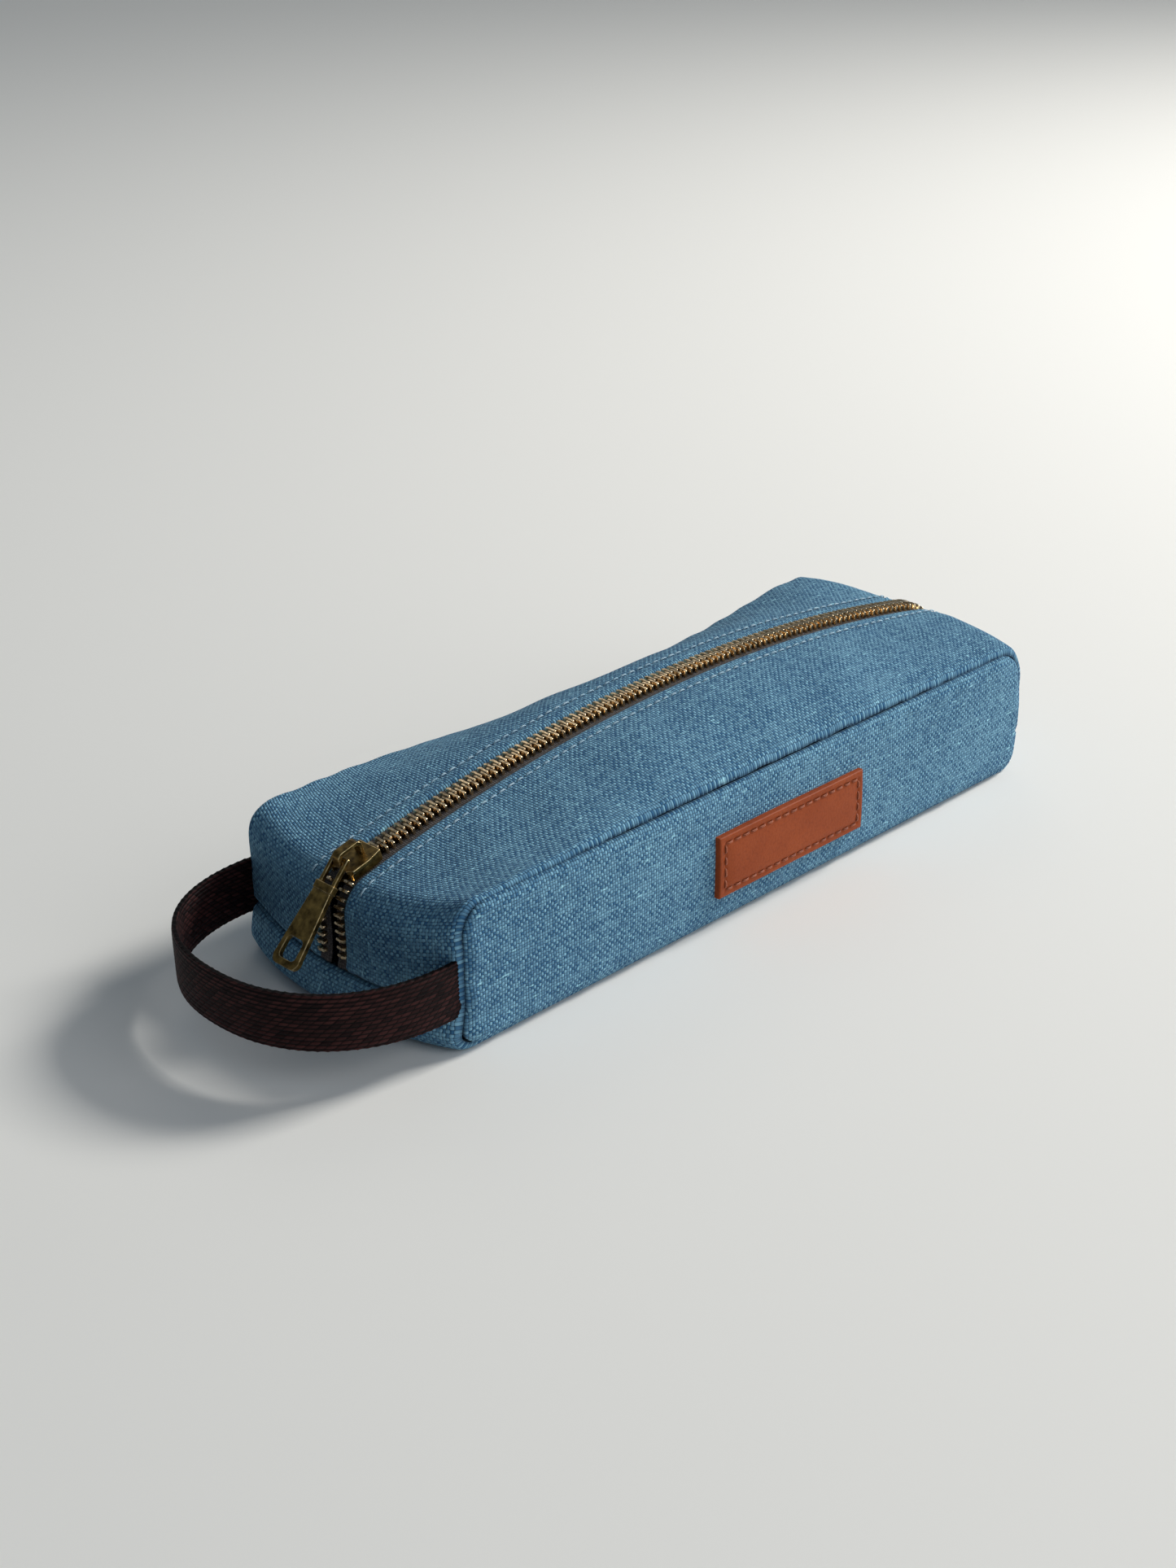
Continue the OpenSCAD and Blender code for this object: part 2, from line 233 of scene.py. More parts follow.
def soft_patches_group() -> bpy.types.NodeTree:
    """Makes the group for soft, large patches of slightly different tone.

    Returns:
        A group that turns a position into a patch value around a half.
    """
    softness = (0.3, 0.7)
    group, t, given, out = shader_group(
        "soft_patches",
        [("Position", "NodeSocketVector", None), ("Size", "NodeSocketFloat", 30.0 * MM)],
        [("Patch", "NodeSocketFloat")],
    )
    rate = t.math("DIVIDE", 1.0, given[1])
    noise = t.add("ShaderNodeTexNoise", {"Vector": given[0], "Scale": rate, "Detail": 3.0,
                                         "Roughness": 0.55})
    t.tree.links.new(t.ramp(noise.outputs[0], *softness), out.inputs["Patch"])
    return group


def edge_wear_group() -> bpy.types.NodeTree:
    """Makes the group for metal that is rubbed bright where it bulges, which also paints highlights
    on those edges.

    Returns:
        A group that puts out a mask of rubbed edges and painted edge highlight, from the surface's
        own curvature.
    """
    bulge, gaps, gap_rate = (0.508, 0.560), (0.25, 0.6), 900.0
    group, t, given, out = shader_group(
        "edge_wear",
        [("Position", "NodeSocketVector", None), ("Amount", "NodeSocketFloat", 0.5)],
        [("Wear", "NodeSocketFloat")],
    )
    geometry = t.add("ShaderNodeNewGeometry")
    # Bulging edges: rubbed bright, and painted with highlight as well.
    edge = t.ramp(geometry.outputs["Pointiness"], *bulge)
    noise = t.add("ShaderNodeTexNoise", {"Vector": given[0], "Scale": gap_rate, "Detail": 3.0})
    broken = t.math("MULTIPLY", edge, t.ramp(noise.outputs[0], *gaps))
    t.tree.links.new(t.math("MULTIPLY", broken, given[1]), out.inputs["Wear"])
    return group


@dataclass
class GroupShelf:
    """The shared shader groups, made once."""

    weave: bpy.types.NodeTree = field(default_factory=plain_weave_group)
    patches: bpy.types.NodeTree = field(default_factory=soft_patches_group)
    wear: bpy.types.NodeTree = field(default_factory=edge_wear_group)


@dataclass(frozen=True)
class Finish:
    """What every finish has: a name, a record slot, its colours and its roughness."""

    name: str
    slot: str
    base: tuple[float, float, float]
    deep: tuple[float, float, float]
    bright: tuple[float, float, float]
    roughness: float = 0.9

    CLOTH_SPECULAR: ClassVar[float] = 0.12

    def start(self) -> tuple[bpy.types.Material, NodeTree, bpy.types.Node]:
        """Makes the material and its Principled shader.

        Returns:
            The material, its tree and the shader node.
        """
        made = bpy.data.materials.new(self.name)
        made.use_nodes = True
        t = NodeTree(made.node_tree)
        shader = made.node_tree.nodes["Principled BSDF"]
        shader.inputs["Roughness"].default_value = self.roughness
        made.diffuse_color = (*self.base, 1.0)
        return made, t, shader

    def place(self, t: NodeTree, group: bpy.types.NodeTree, inputs: dict) -> bpy.types.Node:
        """Puts a shared group into this material's tree."""
        return t.add("ShaderNodeGroup", inputs, node_tree=group)

    def bump(self, t: NodeTree, shader: bpy.types.Node, height: bpy.types.NodeSocket,
             distance: float, strength: float = 1.0) -> None:
        """Feeds a height into the shader's normal."""
        made = t.add("ShaderNodeBump", {"Height": height, "Distance": distance,
                                        "Strength": strength})
        t.tree.links.new(made.outputs[0], shader.inputs["Normal"])

    def rgba(self, colour: tuple[float, float, float]) -> tuple[float, float, float, float]:
        """A colour with full alpha."""
        return (*colour, 1.0)


@dataclass(frozen=True)
class WovenFinish(Finish):
    """Plain-woven cloth, read from the piece's own cloth map in metres."""

    pitch: float = 1.0 * MM
    unevenness: float = 0.3
    depth: float = 0.22 * MM
    sheen: float = 0.25
    flecks: float = 0.0
    contrast: float = 0.0
    seam_shade: float = 0.0

    PATCH_SIZE: ClassVar[float] = 30.0 * MM
    YARN_SHARE: ClassVar[float] = 0.8
    PATCH_SHARE: ClassVar[float] = 0.2
    TONE_RANGE: ClassVar[tuple[float, float]] = (0.15, 0.82)
    HOLLOW_SHADE: ClassVar[float] = 0.92
    FLECK_RATE: ClassVar[tuple[float, float, float]] = (260.0, 900.0, 1.0)
    FLECK_RANGE: ClassVar[tuple[float, float]] = (0.68, 0.76)
    SEAM_FALLOFF: ClassVar[float] = 3.5
    FUZZ_RATE: ClassVar[float] = 5200.0
    FUZZ_SHARE: ClassVar[float] = 0.22
    FLECK_GAIN: ClassVar[float] = 1.7
    FLECK_LIFT: ClassVar[float] = 0.08

    def build(self, shelf: GroupShelf) -> bpy.types.Material:
        """Makes the cloth material.

        Args:
            shelf: The shared groups.

        Returns:
            The material.
        """
        made, t, shader = self.start()
        cloth = t.add("ShaderNodeUVMap", uv_map="cloth").outputs[0]
        place = t.add("ShaderNodeTexCoord").outputs["Object"]
        weave = self.place(t, shelf.weave, {"Coordinates": cloth, "Pitch": self.pitch,
                                            "Unevenness": self.unevenness,
                                            "Contrast": self.contrast})
        patch = self.place(t, shelf.patches, {"Position": place, "Size": self.PATCH_SIZE})
        tone = t.math("ADD", t.math("MULTIPLY", weave.outputs["Tone"], self.YARN_SHARE),
                      t.math("MULTIPLY", patch.outputs[0], self.PATCH_SHARE))
        colour = t.mix(t.ramp(tone, *self.TONE_RANGE), self.rgba(self.base),
                       self.rgba(self.bright))
        # Painted shade in the hollows between the yarns.
        hollow = t.math("MULTIPLY", weave.outputs["Hollow"], self.HOLLOW_SHADE)
        colour = t.mix(hollow, colour, self.rgba(self.deep))
        if self.flecks:
            colour = self.fleck(t, cloth, colour)
        # Painted shade in the seams' grooves, from the seam depth stored on each point.
        if self.seam_shade:
            seam = t.add("ShaderNodeAttribute", attribute_name="seam").outputs["Fac"]
            shade = t.math("MULTIPLY", t.math("POWER", seam, self.SEAM_FALLOFF), self.seam_shade)
            colour = t.mix(shade, colour, self.rgba(self.deep))
        t.tree.links.new(colour, shader.inputs["Base Color"])
        fuzz = t.add("ShaderNodeTexNoise", {"Vector": place, "Scale": self.FUZZ_RATE,
                                            "Detail": 2.0})
        height = t.math("ADD", weave.outputs["Height"],
                        t.math("MULTIPLY", fuzz.outputs[0], self.FUZZ_SHARE))
        self.bump(t, shader, height, self.depth)
        shader.inputs["Sheen Weight"].default_value = self.sheen
        shader.inputs["Sheen Roughness"].default_value = 0.5
        shader.inputs["Specular IOR Level"].default_value = self.CLOTH_SPECULAR
        return made

    def fleck(self, t: NodeTree, cloth: bpy.types.NodeSocket,
              colour: bpy.types.NodeSocket) -> bpy.types.NodeSocket:
        """Adds pale flecks, longer along the warp, to a colour."""
        stretched = t.add("ShaderNodeVectorMath", {0: cloth, 1: self.FLECK_RATE},
                          operation="MULTIPLY")
        noise = t.add("ShaderNodeTexNoise", {"Vector": stretched.outputs[0], "Scale": 1.0,
                                             "Detail": 1.0})
        mask = t.math("MULTIPLY", t.ramp(noise.outputs[0], *self.FLECK_RANGE), self.flecks)
        pale = tuple(min(1.0, self.FLECK_GAIN * c + self.FLECK_LIFT) for c in self.bright)
        return t.mix(mask, colour, self.rgba(pale))


@dataclass(frozen=True)
class RibbedFinish(Finish):
    """Ribbed webbing: rows of short floats along the band, read from its cloth map."""

    row: float = 1.06 * MM
    stitch: float = 2.2 * MM
    sheen: float = 0.15

    PATCH_SIZE: ClassVar[float] = 20.0 * MM
    LEAN: ClassVar[float] = 0.5
    FLOAT_ROUNDNESS: ClassVar[float] = 0.35
    FIBRE_RATE: ClassVar[float] = 4200.0
    DEPTH: ClassVar[float] = 0.3 * MM
    PATCH_SHARE: ClassVar[float] = 0.15
    FIBRE_SHARE: ClassVar[float] = 0.25
    TONE_RANGE: ClassVar[tuple[float, float]] = (0.3, 1.0)
    HOLLOW_RANGE: ClassVar[tuple[float, float]] = (0.1, 0.75)

    def build(self, shelf: GroupShelf) -> bpy.types.Material:
        """Makes the webbing material.

        Args:
            shelf: The shared groups.

        Returns:
            The material.
        """
        made, t, shader = self.start()
        cloth = t.add("ShaderNodeUVMap", uv_map="cloth").outputs[0]
        place = t.add("ShaderNodeTexCoord").outputs["Object"]
        axes = t.add("ShaderNodeSeparateXYZ", {0: cloth})
        along = t.math("DIVIDE", axes.outputs[0], self.stitch)
        across = t.math("DIVIDE", axes.outputs[1], self.row)
        row = t.math("FLOOR", across)
        shifted = t.math("ADD", along,
                         t.math("MULTIPLY", t.math("FLOORED_MODULO", row, 2.0), 0.5))
        leaned = t.math("ADD", shifted, t.math("MULTIPLY", t.math("FRACT", across), self.LEAN))
        float_hump, row_hump = (t.math("ABSOLUTE", t.math("SINE", t.math("MULTIPLY", v, math.pi)))
                                for v in (leaned, across))
        height = t.math("MULTIPLY", t.math("POWER", float_hump, self.FLOAT_ROUNDNESS), row_hump)
        cell = t.add("ShaderNodeCombineXYZ", {0: t.math("FLOOR", leaned), 1: row})
        speck = t.add("ShaderNodeTexWhiteNoise", {"Vector": cell.outputs[0]},
                      noise_dimensions="2D")
        fibre = t.add("ShaderNodeTexNoise", {"Vector": place, "Scale": self.FIBRE_RATE,
                                             "Detail": 3.0})
        patch = self.place(t, shelf.patches, {"Position": place, "Size": self.PATCH_SIZE})
        tone = t.math("ADD", t.math("MULTIPLY", speck.outputs[0], 0.5),
                      t.math("MULTIPLY", fibre.outputs[0], 0.5))
        tone = t.math("ADD", tone, t.math("MULTIPLY", patch.outputs[0], self.PATCH_SHARE))
        colour = t.mix(t.ramp(tone, *self.TONE_RANGE), self.rgba(self.base),
                       self.rgba(self.bright))
        # Painted shade in the hollows between the floats and the rows.
        hollow = t.math("SUBTRACT", 1.0, t.ramp(height, *self.HOLLOW_RANGE))
        colour = t.mix(hollow, colour, self.rgba(self.deep))
        t.tree.links.new(colour, shader.inputs["Base Color"])
        lumps = t.math("ADD", height, t.math("MULTIPLY", fibre.outputs[0], self.FIBRE_SHARE))
        self.bump(t, shader, lumps, self.DEPTH)
        shader.inputs["Sheen Weight"].default_value = self.sheen
        shader.inputs["Specular IOR Level"].default_value = self.CLOTH_SPECULAR
        return made


@dataclass(frozen=True)
class BrassFinish(Finish):
    """Antique brass, dark in its hollows and rubbed bright on its edges, where the brightness is
    also painted highlight.
    """

    wear: float = 0.9

    PATCH_SIZE: ClassVar[float] = 2.2 * MM
    POLISH: ClassVar[float] = 0.16
    TARNISH: ClassVar[float] = 0.08
    SCRATCH_RATE: ClassVar[float] = 1600.0
    SCRATCH_DEPTH: ClassVar[float] = 0.03 * MM

    def build(self, shelf: GroupShelf) -> bpy.types.Material:
        """Makes the brass material.

        Args:
            shelf: The shared groups.

        Returns:
            The material.
        """
        made, t, shader = self.start()
        place = t.add("ShaderNodeTexCoord").outputs["Object"]
        patch = self.place(t, shelf.patches, {"Position": place, "Size": self.PATCH_SIZE})
        worn = self.place(t, shelf.wear, {"Position": place, "Amount": self.wear})
        colour = t.mix(patch.outputs[0], self.rgba(self.deep), self.rgba(self.base))
        # Rubbed bright edges and painted edge highlight, in one colour.
        colour = t.mix(worn.outputs[0], colour, self.rgba(self.bright))
        t.tree.links.new(colour, shader.inputs["Base Color"])
        rough = t.math("SUBTRACT", self.roughness, t.math("MULTIPLY", worn.outputs[0], self.POLISH))
        rough = t.math("ADD", rough, t.math("MULTIPLY", patch.outputs[0], self.TARNISH))
        t.tree.links.new(rough, shader.inputs["Roughness"])
        scratch = t.add("ShaderNodeTexNoise", {"Vector": place, "Scale": self.SCRATCH_RATE,
                                               "Detail": 4.0})
        self.bump(t, shader, scratch.outputs[0], self.SCRATCH_DEPTH, strength=0.6)
        shader.inputs["Metallic"].default_value = 1.0
        return made


@dataclass(frozen=True)
class LeatherFinish(Finish):
    """Smooth finished leather with a fine pebbled grain."""

    grain: float = 0.6 * MM

    PATCH_SIZE: ClassVar[float] = 12.0 * MM
    DIP_RANGE: ClassVar[tuple[float, float]] = (0.35, 0.85)
    DIP_SHADE: ClassVar[float] = 0.35
    PORE_RATE: ClassVar[float] = 3000.0
    PORE_SHARE: ClassVar[float] = 0.3
    PEBBLE_SHARE: ClassVar[float] = 0.7
    DEPTH: ClassVar[float] = 0.06 * MM

    def build(self, shelf: GroupShelf) -> bpy.types.Material:
        """Makes the leather material.

        Args:
            shelf: The shared groups.

        Returns:
            The material.
        """
        made, t, shader = self.start()
        place = t.add("ShaderNodeTexCoord").outputs["Object"]
        cells = t.add("ShaderNodeTexVoronoi", {"Vector": place, "Scale": 1.0 / self.grain,
                                               "Randomness": 1.0}, feature="SMOOTH_F1")
        fine = t.add("ShaderNodeTexNoise", {"Vector": place, "Scale": self.PORE_RATE,
                                            "Detail": 3.0})
        patch = self.place(t, shelf.patches, {"Position": place, "Size": self.PATCH_SIZE})
        colour = t.mix(patch.outputs[0], self.rgba(self.base), self.rgba(self.bright))
        dip = t.ramp(cells.outputs["Distance"], *self.DIP_RANGE)
        colour = t.mix(t.math("MULTIPLY", dip, self.DIP_SHADE), colour, self.rgba(self.deep))
        t.tree.links.new(colour, shader.inputs["Base Color"])
        height = t.math("SUBTRACT", t.math("MULTIPLY", fine.outputs[0], self.PORE_SHARE),
                        t.math("MULTIPLY", cells.outputs["Distance"], self.PEBBLE_SHARE))
        self.bump(t, shader, height, self.DEPTH, strength=0.7)
        shader.inputs["Specular IOR Level"].default_value = 0.2
        return made


@dataclass(frozen=True)
class ThreadFinish(Finish):
    """Twisted sewing thread."""

    twist: float = 0.5 * MM

    PATCH_SIZE: ClassVar[float] = 4.0 * MM
    PLY_SHARE: ClassVar[float] = 0.6
    DEPTH: ClassVar[float] = 0.08 * MM

    def build(self, shelf: GroupShelf) -> bpy.types.Material:
        """Makes the thread material.

        Args:
            shelf: The shared groups.

        Returns:
            The material.
        """
        made, t, shader = self.start()
        place = t.add("ShaderNodeTexCoord").outputs["Object"]
        slanted = t.add("ShaderNodeVectorMath", {0: place, 1: (1.0, 1.0, 1.0)},
                        operation="DOT_PRODUCT").outputs["Value"]
        ply = t.math("ABSOLUTE", t.math("SINE", t.math("MULTIPLY", slanted, math.pi / self.twist)))
        patch = self.place(t, shelf.patches, {"Position": place, "Size": self.PATCH_SIZE})
        colour = t.mix(t.math("MULTIPLY", ply, self.PLY_SHARE), self.rgba(self.deep),
                       self.rgba(self.base))
        colour = t.mix(t.math("MULTIPLY", patch.outputs[0], self.PLY_SHARE), colour,
                       self.rgba(self.bright))
        t.tree.links.new(colour, shader.inputs["Base Color"])
        self.bump(t, shader, ply, self.DEPTH)
        shader.inputs["Sheen Weight"].default_value = 0.2
        return made


class Wardrobe:
    """Every finish of the case, each made into a material once."""

    CANVAS = WovenFinish("blue_canvas", "canvas", (0.036, 0.128, 0.255), (0.004, 0.020, 0.052),
                         (0.225, 0.460, 0.625), pitch=0.80 * MM, unevenness=0.36,
                         depth=0.30 * MM, sheen=0.06, flecks=0.7, contrast=0.42,
                         seam_shade=0.55)
    TAPE = WovenFinish("zip_tape_twill", "zip_tape", (0.056, 0.050, 0.050), (0.014, 0.012, 0.013),
                       (0.135, 0.120, 0.115), pitch=0.6 * MM, unevenness=0.1,
                       depth=0.14 * MM, sheen=0.05)
    BINDING = WovenFinish("bias_binding", "binding", (0.050, 0.11, 0.18), (0.016, 0.04, 0.07),
                          (0.10, 0.19, 0.28), pitch=0.45 * MM, depth=0.08 * MM)
    WEBBING = RibbedFinish("brown_webbing", "webbing", (0.0095, 0.0032, 0.0036),
                           (0.0010, 0.0005, 0.0006), (0.075, 0.024, 0.022), roughness=0.62,
                           sheen=0.0)
    # The brass's bright colours are rubbed metal and painted edge highlight together.
    BRASS = BrassFinish("antique_brass", "antique_brass", (0.380, 0.240, 0.070),
                        (0.075, 0.045, 0.013), (1.00, 0.80, 0.44), roughness=0.36)
    CHAIN = BrassFinish("zip_brass", "antique_brass", (0.240, 0.160, 0.086), (0.045, 0.030, 0.018),
                        (0.88, 0.68, 0.43), roughness=0.34, wear=1.0)
    LEATHER = LeatherFinish("tan_leather", "leather", (0.285, 0.050, 0.0085),
                            (0.130, 0.020, 0.004), (0.350, 0.068, 0.014), roughness=0.5)
    TAN_THREAD = ThreadFinish("tan_thread", "tan_thread", (0.40, 0.078, 0.014),
                              (0.16, 0.026, 0.004), (0.50, 0.115, 0.026), roughness=0.6)
    PALE_THREAD = ThreadFinish("pale_blue_thread", "pale_thread", (0.42, 0.66, 0.80),
                               (0.16, 0.32, 0.46), (0.70, 0.87, 0.95), roughness=0.8)

    def __init__(self) -> None:
        """Makes the shared groups; materials follow as they are asked for."""
        self.shelf = GroupShelf()
        self.made: dict[str, bpy.types.Material] = {}

    def material(self, finish: Finish) -> bpy.types.Material:
        """The finish's material, made on its first use."""
        if finish.name not in self.made:
            self.made[finish.name] = finish.build(self.shelf)
        return self.made[finish.name]

    def dress(self, piece: bpy.types.Object, finish: Finish) -> bpy.types.Object:
        """Gives a piece one finish."""
        piece.data.materials.clear()
        piece.data.materials.append(self.material(finish))
        return piece


# ---------------------------------------------------------------- meshes


BEVEL_ANGLE = math.radians(35)
SHARP_METAL = math.radians(42)
SHARP_CLOTH = math.radians(50)
SHARP_WEBBING = math.radians(80)


def link_new(name: str, data: bpy.types.ID | None) -> bpy.types.Object:
    """Makes an object at the origin from its data and puts it in the scene."""
    made = bpy.data.objects.new(name, data)
    bpy.context.scene.collection.objects.link(made)
    return made


def shade_smooth(mesh: bpy.types.Mesh, smooth: bool = True) -> None:
    """Shades every face of a mesh smooth, or flat."""
    mesh.polygons.foreach_set("use_smooth", [smooth] * len(mesh.polygons))


def running_length(points: np.ndarray) -> np.ndarray:
    """Distance along a row of points, from its first."""
    return np.concatenate([[0], np.cumsum(np.linalg.norm(np.diff(points, axis=0), axis=1))])


def cloth_map(run: np.ndarray, y: np.ndarray) -> np.ndarray:
    """Cloth coordinates of a grid, from its rows' run and its columns' places."""
    return np.stack(np.broadcast_arrays(run[:, None], y[None, :]), -1)


def give_inputs(modifier: bpy.types.Modifier, values: dict[str, object]) -> None:
    """Sets a geometry-nodes modifier's inputs by their names."""
    for item in modifier.node_group.interface.items_tree:
        if item.in_out == "INPUT" and item.name in values:
            modifier[item.identifier] = values[item.name]


def new_piece(name: str, vertices: np.ndarray, faces: Iterable[Sequence[int]],
              cloth: np.ndarray | None = None, smooth: bool = True) -> bpy.types.Object:
    """Makes a mesh piece at the origin.

    Args:
        name: The piece's name.
        vertices: Points in metres, one row each.
        faces: Vertex numbers of each face.
        cloth: A cloth coordinate for each vertex, in metres, for the cloth map.
        smooth: Whether the faces are shaded smooth.

    Returns:
        The new object.
    """
    mesh = bpy.data.meshes.new(name)
    mesh.from_pydata([tuple(p) for p in vertices], [], [tuple(f) for f in faces])
    if cloth is not None:
        layer = mesh.uv_layers.new(name="cloth")
        corner = np.zeros(len(mesh.loops), np.int32)
        mesh.loops.foreach_get("vertex_index", corner)
        layer.data.foreach_set("uv", cloth[corner].astype(np.float32).ravel())
    shade_smooth(mesh, smooth)
    mesh.update()
    return link_new(name, mesh)


def tidy_normals(piece: bpy.types.Object, merge: float = 1e-6) -> bpy.types.Object:
    """Merges doubled points and turns every face outwards."""
    mesh = bmesh.new()
    mesh.from_mesh(piece.data)
    bmesh.ops.remove_doubles(mesh, verts=mesh.verts, dist=merge)
    bmesh.ops.dissolve_degenerate(mesh, dist=merge, edges=mesh.edges)
    bmesh.ops.recalc_face_normals(mesh, faces=mesh.faces)
    mesh.to_mesh(piece.data)
    mesh.free()
    piece.data.update()
    return piece


def apply_modifiers(piece: bpy.types.Object) -> bpy.types.Object:
    """Turns a piece and its modifiers into a plain mesh."""
    graph = bpy.context.evaluated_depsgraph_get()
    plain = bpy.data.meshes.new_from_object(piece.evaluated_get(graph))
    old = piece.data
    piece.modifiers.clear()
    piece.data = plain
    bpy.data.meshes.remove(old)
    return piece


def soften(piece: bpy.types.Object, width: float, segments: int = 2) -> bpy.types.Object:
    """Rounds a piece's sharp edges with an applied bevel."""
    bevel = piece.modifiers.new("rounding", "BEVEL")
    bevel.width = width
    bevel.segments = segments
    bevel.limit_method = "ANGLE"
    bevel.angle_limit = BEVEL_ANGLE
    apply_modifiers(piece)
    shade_smooth(piece.data)
    piece.data.set_sharp_from_angle(angle=SHARP_METAL)
    return piece


def surface_normals(grid: np.ndarray) -> np.ndarray:
    """Unit normals of a grid of points, from differences along its rows and columns."""
    normal = np.cross(np.gradient(grid, axis=0), np.gradient(grid, axis=1))
    return normal / np.maximum(np.linalg.norm(normal, axis=2, keepdims=True), 1e-12)


def paint_seams(piece: bpy.types.Object, shade: np.ndarray) -> None:
    """Stores how deep in a seam each point lies, from 0 to 1, for the cloth's painted seam shade.
    """
    layer = piece.data.attributes.new("seam", "FLOAT", "POINT")
    layer.data.foreach_set("value", np.clip(shade, 0, 1).astype(np.float32).ravel())


def thick_sheet(name: str, outer: np.ndarray, inner: np.ndarray,
                cloth: np.ndarray) -> bpy.types.Object:
    """Makes a closed sheet from an outer and an inner grid of the same size.

    Args:
        name: The piece's name.
        outer: Outer points, rows by columns by three.
        inner: Inner points, in the same order.
        cloth: Cloth coordinates, rows by columns by two.

    Returns:
        The piece.
    """
    rows, cols = outer.shape[:2]
    number = np.arange(rows * cols).reshape(rows, cols)
    a, b, c, d = number[:-1, :-1], number[1:, :-1], number[1:, 1:], number[:-1, 1:]
    top = np.stack([a, b, c, d], -1).reshape(-1, 4)
    under = top[:, ::-1] + rows * cols
    edge = np.concatenate([number[0, :-1], number[:-1, -1], number[-1, :0:-1], number[:0:-1, 0]])
    after = np.roll(edge, -1)
    wall = np.stack([edge, after, after + rows * cols, edge + rows * cols], -1)
    points = np.concatenate([outer.reshape(-1, 3), inner.reshape(-1, 3)])
    maps = np.concatenate([cloth.reshape(-1, 2)] * 2)
    piece = new_piece(name, points, np.concatenate([top, under, wall]).tolist(), maps)
    mesh = bmesh.new()
    mesh.from_mesh(piece.data)
    bmesh.ops.recalc_face_normals(mesh, faces=mesh.faces)
    mesh.to_mesh(piece.data)
    mesh.free()
    piece.data.set_sharp_from_angle(angle=SHARP_CLOTH)
    return piece


class Ripple:
    """A smooth, repeatable unevenness made of crossing waves."""

    def __init__(self, seed: int, waves: int, shortest: float, longest: float) -> None:
        """Draws the waves' directions, lengths and phases from a seed."""
        draw = np.random.default_rng(seed)
        direction = draw.normal(size=(waves, 3))
        direction /= np.linalg.norm(direction, axis=1, keepdims=True)
        length = draw.uniform(shortest, longest, (waves, 1))
        self.rate = direction * 2 * math.pi / length
        self.phase = draw.uniform(0, 2 * math.pi, waves)
        self.share = 1 / math.sqrt(waves)

    def at(self, points: np.ndarray) -> np.ndarray:
        """The unevenness at each point, mostly between -1 and 1."""
        return np.sin(points @ self.rate.T + self.phase).sum(-1) * self.share


# ---------------------------------------------------------------- the case's form


